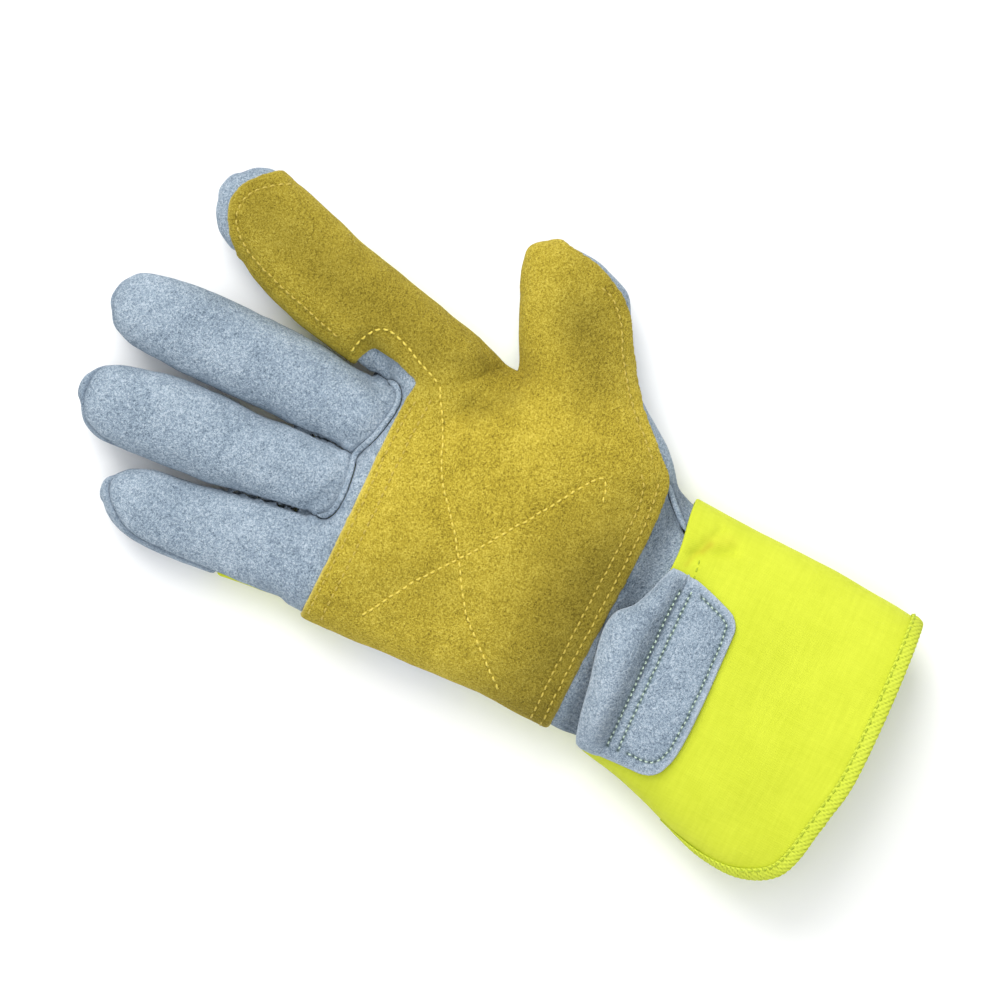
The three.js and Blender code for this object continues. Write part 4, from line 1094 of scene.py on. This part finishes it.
columns, patch_rows = ((150, 90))
x = np.linspace(PATCH[0, 0], PATCH[-1, 0], columns)
top, bottom, puff = (eased(PATCH[:, 0], PATCH[:, k], x) for k in (1, 2, 3))
share = np.linspace(0, 1, patch_rows)
gx = np.repeat(x[:, None], patch_rows, 1)
gy = bottom[:, None] + (top - bottom)[:, None] * share
above = np.clip((gy - PATCH_SEAM) / (top[:, None] - PATCH_SEAM), 0, 1)
ground_left, ground_right = (eased(PATCH_GROUND[:, 0], PATCH_GROUND[:, k], -gy) for k in (1, 2))
half_width = (ground_left + ground_right - CUFF_SHEET) / 2
gshare = np.clip((gx - (ground_right - ground_left) / 2) / half_width, -1, 1)
angle = np.arccos(power(gshare, ROUNDNESS / 2))
swell = puff[:, None] * np.sin(math.pi * above**0.85)**0.8
base, base_out = on_sheet(PATCH_GROUND, -gy.ravel(), angle.ravel(), 0.0 * gy.ravel())
xy = np.column_stack([gx.ravel(), gy.ravel()])
lift = CUFF_SHEET / 2 + LAYER_GAP + swell.ravel()
in_plan = (base + base_out * lift[:, None])[:, :2]
PATCH_LINES = [smooth_line(row) for row in PATCH_ROWS]
for row in PATCH_LINES:
    lift -= stitched_in(in_plan, row, **PATCH_PULL)
lift += 0.3 * noise(base, 9, 21) + 0.14 * noise(base, 4, 22)
inner = smoothstep(gx.ravel(), -57, -50) * (1 - smoothstep(gx.ravel(), -10, -4))
lift += 0.5 * np.exp(-((gy.ravel() + 70) / 4.6)**2) * inner
place = base + base_out * lift[:, None]
faces, out = facing(place, grid_faces(numbers(columns, patch_rows)), base_out)
data = np.column_stack([place, out, xy])
holes = np.vstack([stitch_ends(row, PATCH_PITCH) for row in PATCH_LINES])
patch, patch_top, patch_faces = shell(
    "wrist_patch_dressed", data, faces, 0, PATCH_SHEET, 0.6, 0.45, GREY_CUT,
    fuzz=0.14, shades=PATCH_PAINTED_SHADES, holes=holes)
put(patch, "wrist_patch")

# Tubes: welts and stitches

def tubes(name, paths, radii, sides, material):
    """Closed round tubes along paths, all in one mesh. radii gives the radius at each point of a path."""
    all_points, all_faces, offset = [], [], 0
    turn = 2 * math.pi * np.arange(sides) / sides
    for path, radius in zip(paths, radii):
        path = np.asarray(path, float)
        ahead = unit(np.gradient(path, axis=0))
        side = unit(np.cross(ahead, [0.05, 0.02, 1.0]))
        up = np.cross(side, ahead)
        rings = path[:, None] + np.asarray(radius)[:, None, None] * (
            np.cos(turn)[None, :, None] * side[:, None] + np.sin(turn)[None, :, None] * up[:, None])
        caps = np.stack([path[0] - ahead[0] * radius[0] * 0.6, path[-1] + ahead[-1] * radius[-1] * 0.6])
        n = len(path)
        i = numbers(n, sides) + offset
        first, last = offset + n * sides, offset + n * sides + 1
        all_points += [rings.reshape(-1, 3), caps]
        all_faces += [ring_faces(i), np.column_stack([np.full(sides, first), np.roll(i[0], -1), i[0]]),
                      np.column_stack([np.full(sides, last), i[-1], np.roll(i[-1], -1)])]
        offset += n * sides + 2
    flat = np.vstack(all_points)
    faces = facing_out(flat, np.vstack(all_faces))
    flat[:, 2] = np.maximum(flat[:, 2], 0.0)
    return make_object(name, flat, faces, flat[:, :2], material,
                       {"edge": np.zeros(len(flat)), "lit": np.ones(len(flat))})


def bvh(points, faces):
    return BVHTree.FromPolygons(points.tolist(), faces.tolist())


def drop_onto(tree, xy):
    """The places and normals where points in plan meet a surface from above."""
    places, outs = [], []
    for x, y in xy:
        hit, normal, _, _ = tree.ray_cast(Vector((x, y, 60)), Vector((0, 0, -1)))
        if hit is None:
            hit, normal, _, _ = tree.find_nearest(Vector((x, y, 15)))
        places.append(hit)
        outs.append(normal if normal.z > 0 else -normal)
    return np.array(places), np.array(outs)


def stitch_row(tree, line, pitch, radius, seed, gap):
    """Short thread lengths that rise out of the surface and dip back in."""
    rng = np.random.default_rng(seed)
    line = np.asarray(line, float)
    run = lengths_along(line)
    starts = np.arange(0, run[-1] - pitch * 0.8, pitch)
    s = (starts[:, None] + gap / 2 + THREAD_STOPS * (pitch - gap)).ravel()
    xy = np.column_stack([np.interp(s, run, line[:, 0]), np.interp(s, run, line[:, 1])])
    places, outs = drop_onto(tree, xy)
    rise = np.tile([-0.42, 0.05, 0.3, 0.3, 0.05, -0.42], len(starts)) * radius / 0.32
    places = (places + outs * rise[:, None]).reshape(len(starts), 6, 3)
    places[:, :, :2] += rng.normal(0, 0.07, (len(starts), 1, 2))
    radii = np.tile([0.62, 0.95, 1.08, 1.08, 0.95, 0.62], (len(starts), 1)) * radius
    return list(places), list(radii)


def stitches(name, tree, lines, pitch, radius, gap, material):
    """Stitch rows along lines in plan, all in one piece."""
    paths, radii = [], []
    for k, line in enumerate(lines):
        more_paths, more_radii = stitch_row(tree, line, pitch, radius, 100 + k, gap)
        paths += more_paths
        radii += more_radii
    pieces[name] = tubes(name, paths, radii, 6, material)


skin_tree = bvh(points, tris)
for name, line in (("finger_welt", FINGER_WELT), ("thumb_welt", THUMB_WELT)):
    places, outs = drop_onto(skin_tree, smooth_line(line, 0.6))
    for _ in range(3):
        places[1:-1] = (places[:-2] + places[1:-1] + places[2:]) / 3
    places = places - [0, 0, 0.4]
    ease = np.minimum(np.arange(len(places)), np.arange(len(places))[::-1])
    radii = WELT_RADIUS * np.clip(0.35 + ease / 4, 0, 1) * (1 + 0.05 * noise(places, 2.5, 31))
    welt = tubes(name + "_dressed", [places], [radii], 14, GREY_CUT)
    put(welt, name)

gold_tree = bvh(gold_top, gold_faces)
stitches("double_palm_stitches", gold_tree, PALM_LINES[2:5], 2.4, 0.32, 0.8, GOLD_THREAD)
stitches("double_palm_edge_stitches", gold_tree, PALM_LINES[:2] + PALM_LINES[5:], 2.4, 0.28, 0.8, DULL_THREAD)
patch_tree = bvh(patch_top, patch_faces)
stitches("wrist_patch_stitches", patch_tree, PATCH_LINES, PATCH_PITCH, 0.21, 0.95, PATCH_THREAD)
cuff_tree = bvh(cuff_top, cuff_faces)
cuff_lines = [smooth_line(row) for row in CUFF_ROWS]
stitches("cuff_stitches", cuff_tree, cuff_lines, 2.4, 0.22, 0.9, CUFF_THREAD)

# The binding's stitch row lies in its groove, on both sides of the cuff
paths, radii = [], []
PITCH = 2.6
for side, lift in ((1, 1.36), (-1, -1.34)):
    for start in np.arange(TAPER, even[-1] - TAPER, PITCH):
        s = start + 0.35 + (PITCH - 0.7) * THREAD_STOPS
        t, angle = np.interp(s, even, path[:, 0]), np.interp(s, even, path[:, 1])
        ds, das = np.interp(s, even, step_t), np.interp(s, even, step_a)
        rise = lift + side * np.array([-0.3, 0.08, 0.24, 0.24, 0.08, -0.3])
        q, _ = on_sheet(CUFF, t + ds * SEWN, angle + das * SEWN, rise)
        if q[:, 2].min() > 0.4:
            paths.append(q)
            radii.append(0.25 * np.array([0.62, 0.95, 1.05, 1.05, 0.95, 0.62]))
pieces["binding_stitches"] = tubes("binding_stitches", paths, radii, 6, CUFF_THREAD)

for piece in pieces.values():
    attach(piece, "root")

# Floor, light and camera

floor_mesh = bpy.data.meshes.new("floor")
floor_mesh.from_pydata([(-4, -4, 0), (4, -4, 0), (4, 4, 0), (-4, 4, 0)], [], [(0, 1, 2, 3)])
floor = bpy.data.objects.new("floor", floor_mesh)
bpy.context.scene.collection.objects.link(floor)
floor.location.z = -0.0003
n = Nodes("pale_floor")
floor_mesh.materials.append(n.finish(srgb(250, 250, 250), None, 0.9, specular=0.1))


def area_light(name, place, aim, size, watts, colour=(1, 1, 1)):
    lamp = bpy.data.lights.new(name, "AREA")
    lamp.shape = "DISK"
    lamp.size = size
    lamp.energy = watts
    lamp.color = colour
    light = bpy.data.objects.new(name, lamp)
    light.location = place
    light.rotation_euler = (Vector(aim) - Vector(place)).to_track_quat("-Z", "Y").to_euler()
    bpy.context.scene.collection.objects.link(light)


area_light("key", (0.9, 0.85, 1.35), (0, 0, 0.02), 1.5, 30, (1.0, 0.99, 0.97))
area_light("fill", (-1.0, -0.5, 1.3), (0, 0, 0.02), 1.8, 9, (0.96, 0.98, 1.0))
area_light("top", (0.0, 0.1, 2.0), (0, 0, 0.02), 1.4, 14)
world = bpy.data.worlds.new("studio")
world.use_nodes = True
world.node_tree.nodes["Background"].inputs[0].default_value = (0.95, 0.97, 1.0, 1.0)
world.node_tree.nodes["Background"].inputs[1].default_value = 0.42
bpy.context.scene.world = world
bpy.context.scene.view_settings.view_transform = "Standard"

camera_data = bpy.data.cameras.new("camera")
camera_data.sensor_width = 36
camera_data.lens = 300
camera_data.clip_end = 20
camera = bpy.data.objects.new("camera", camera_data)
camera.location = (-3.95 * MM, 1.31 * MM, 2.515)
camera.rotation_euler = (0, 0, math.radians(-64))
bpy.context.scene.collection.objects.link(camera)
bpy.context.scene.camera = camera
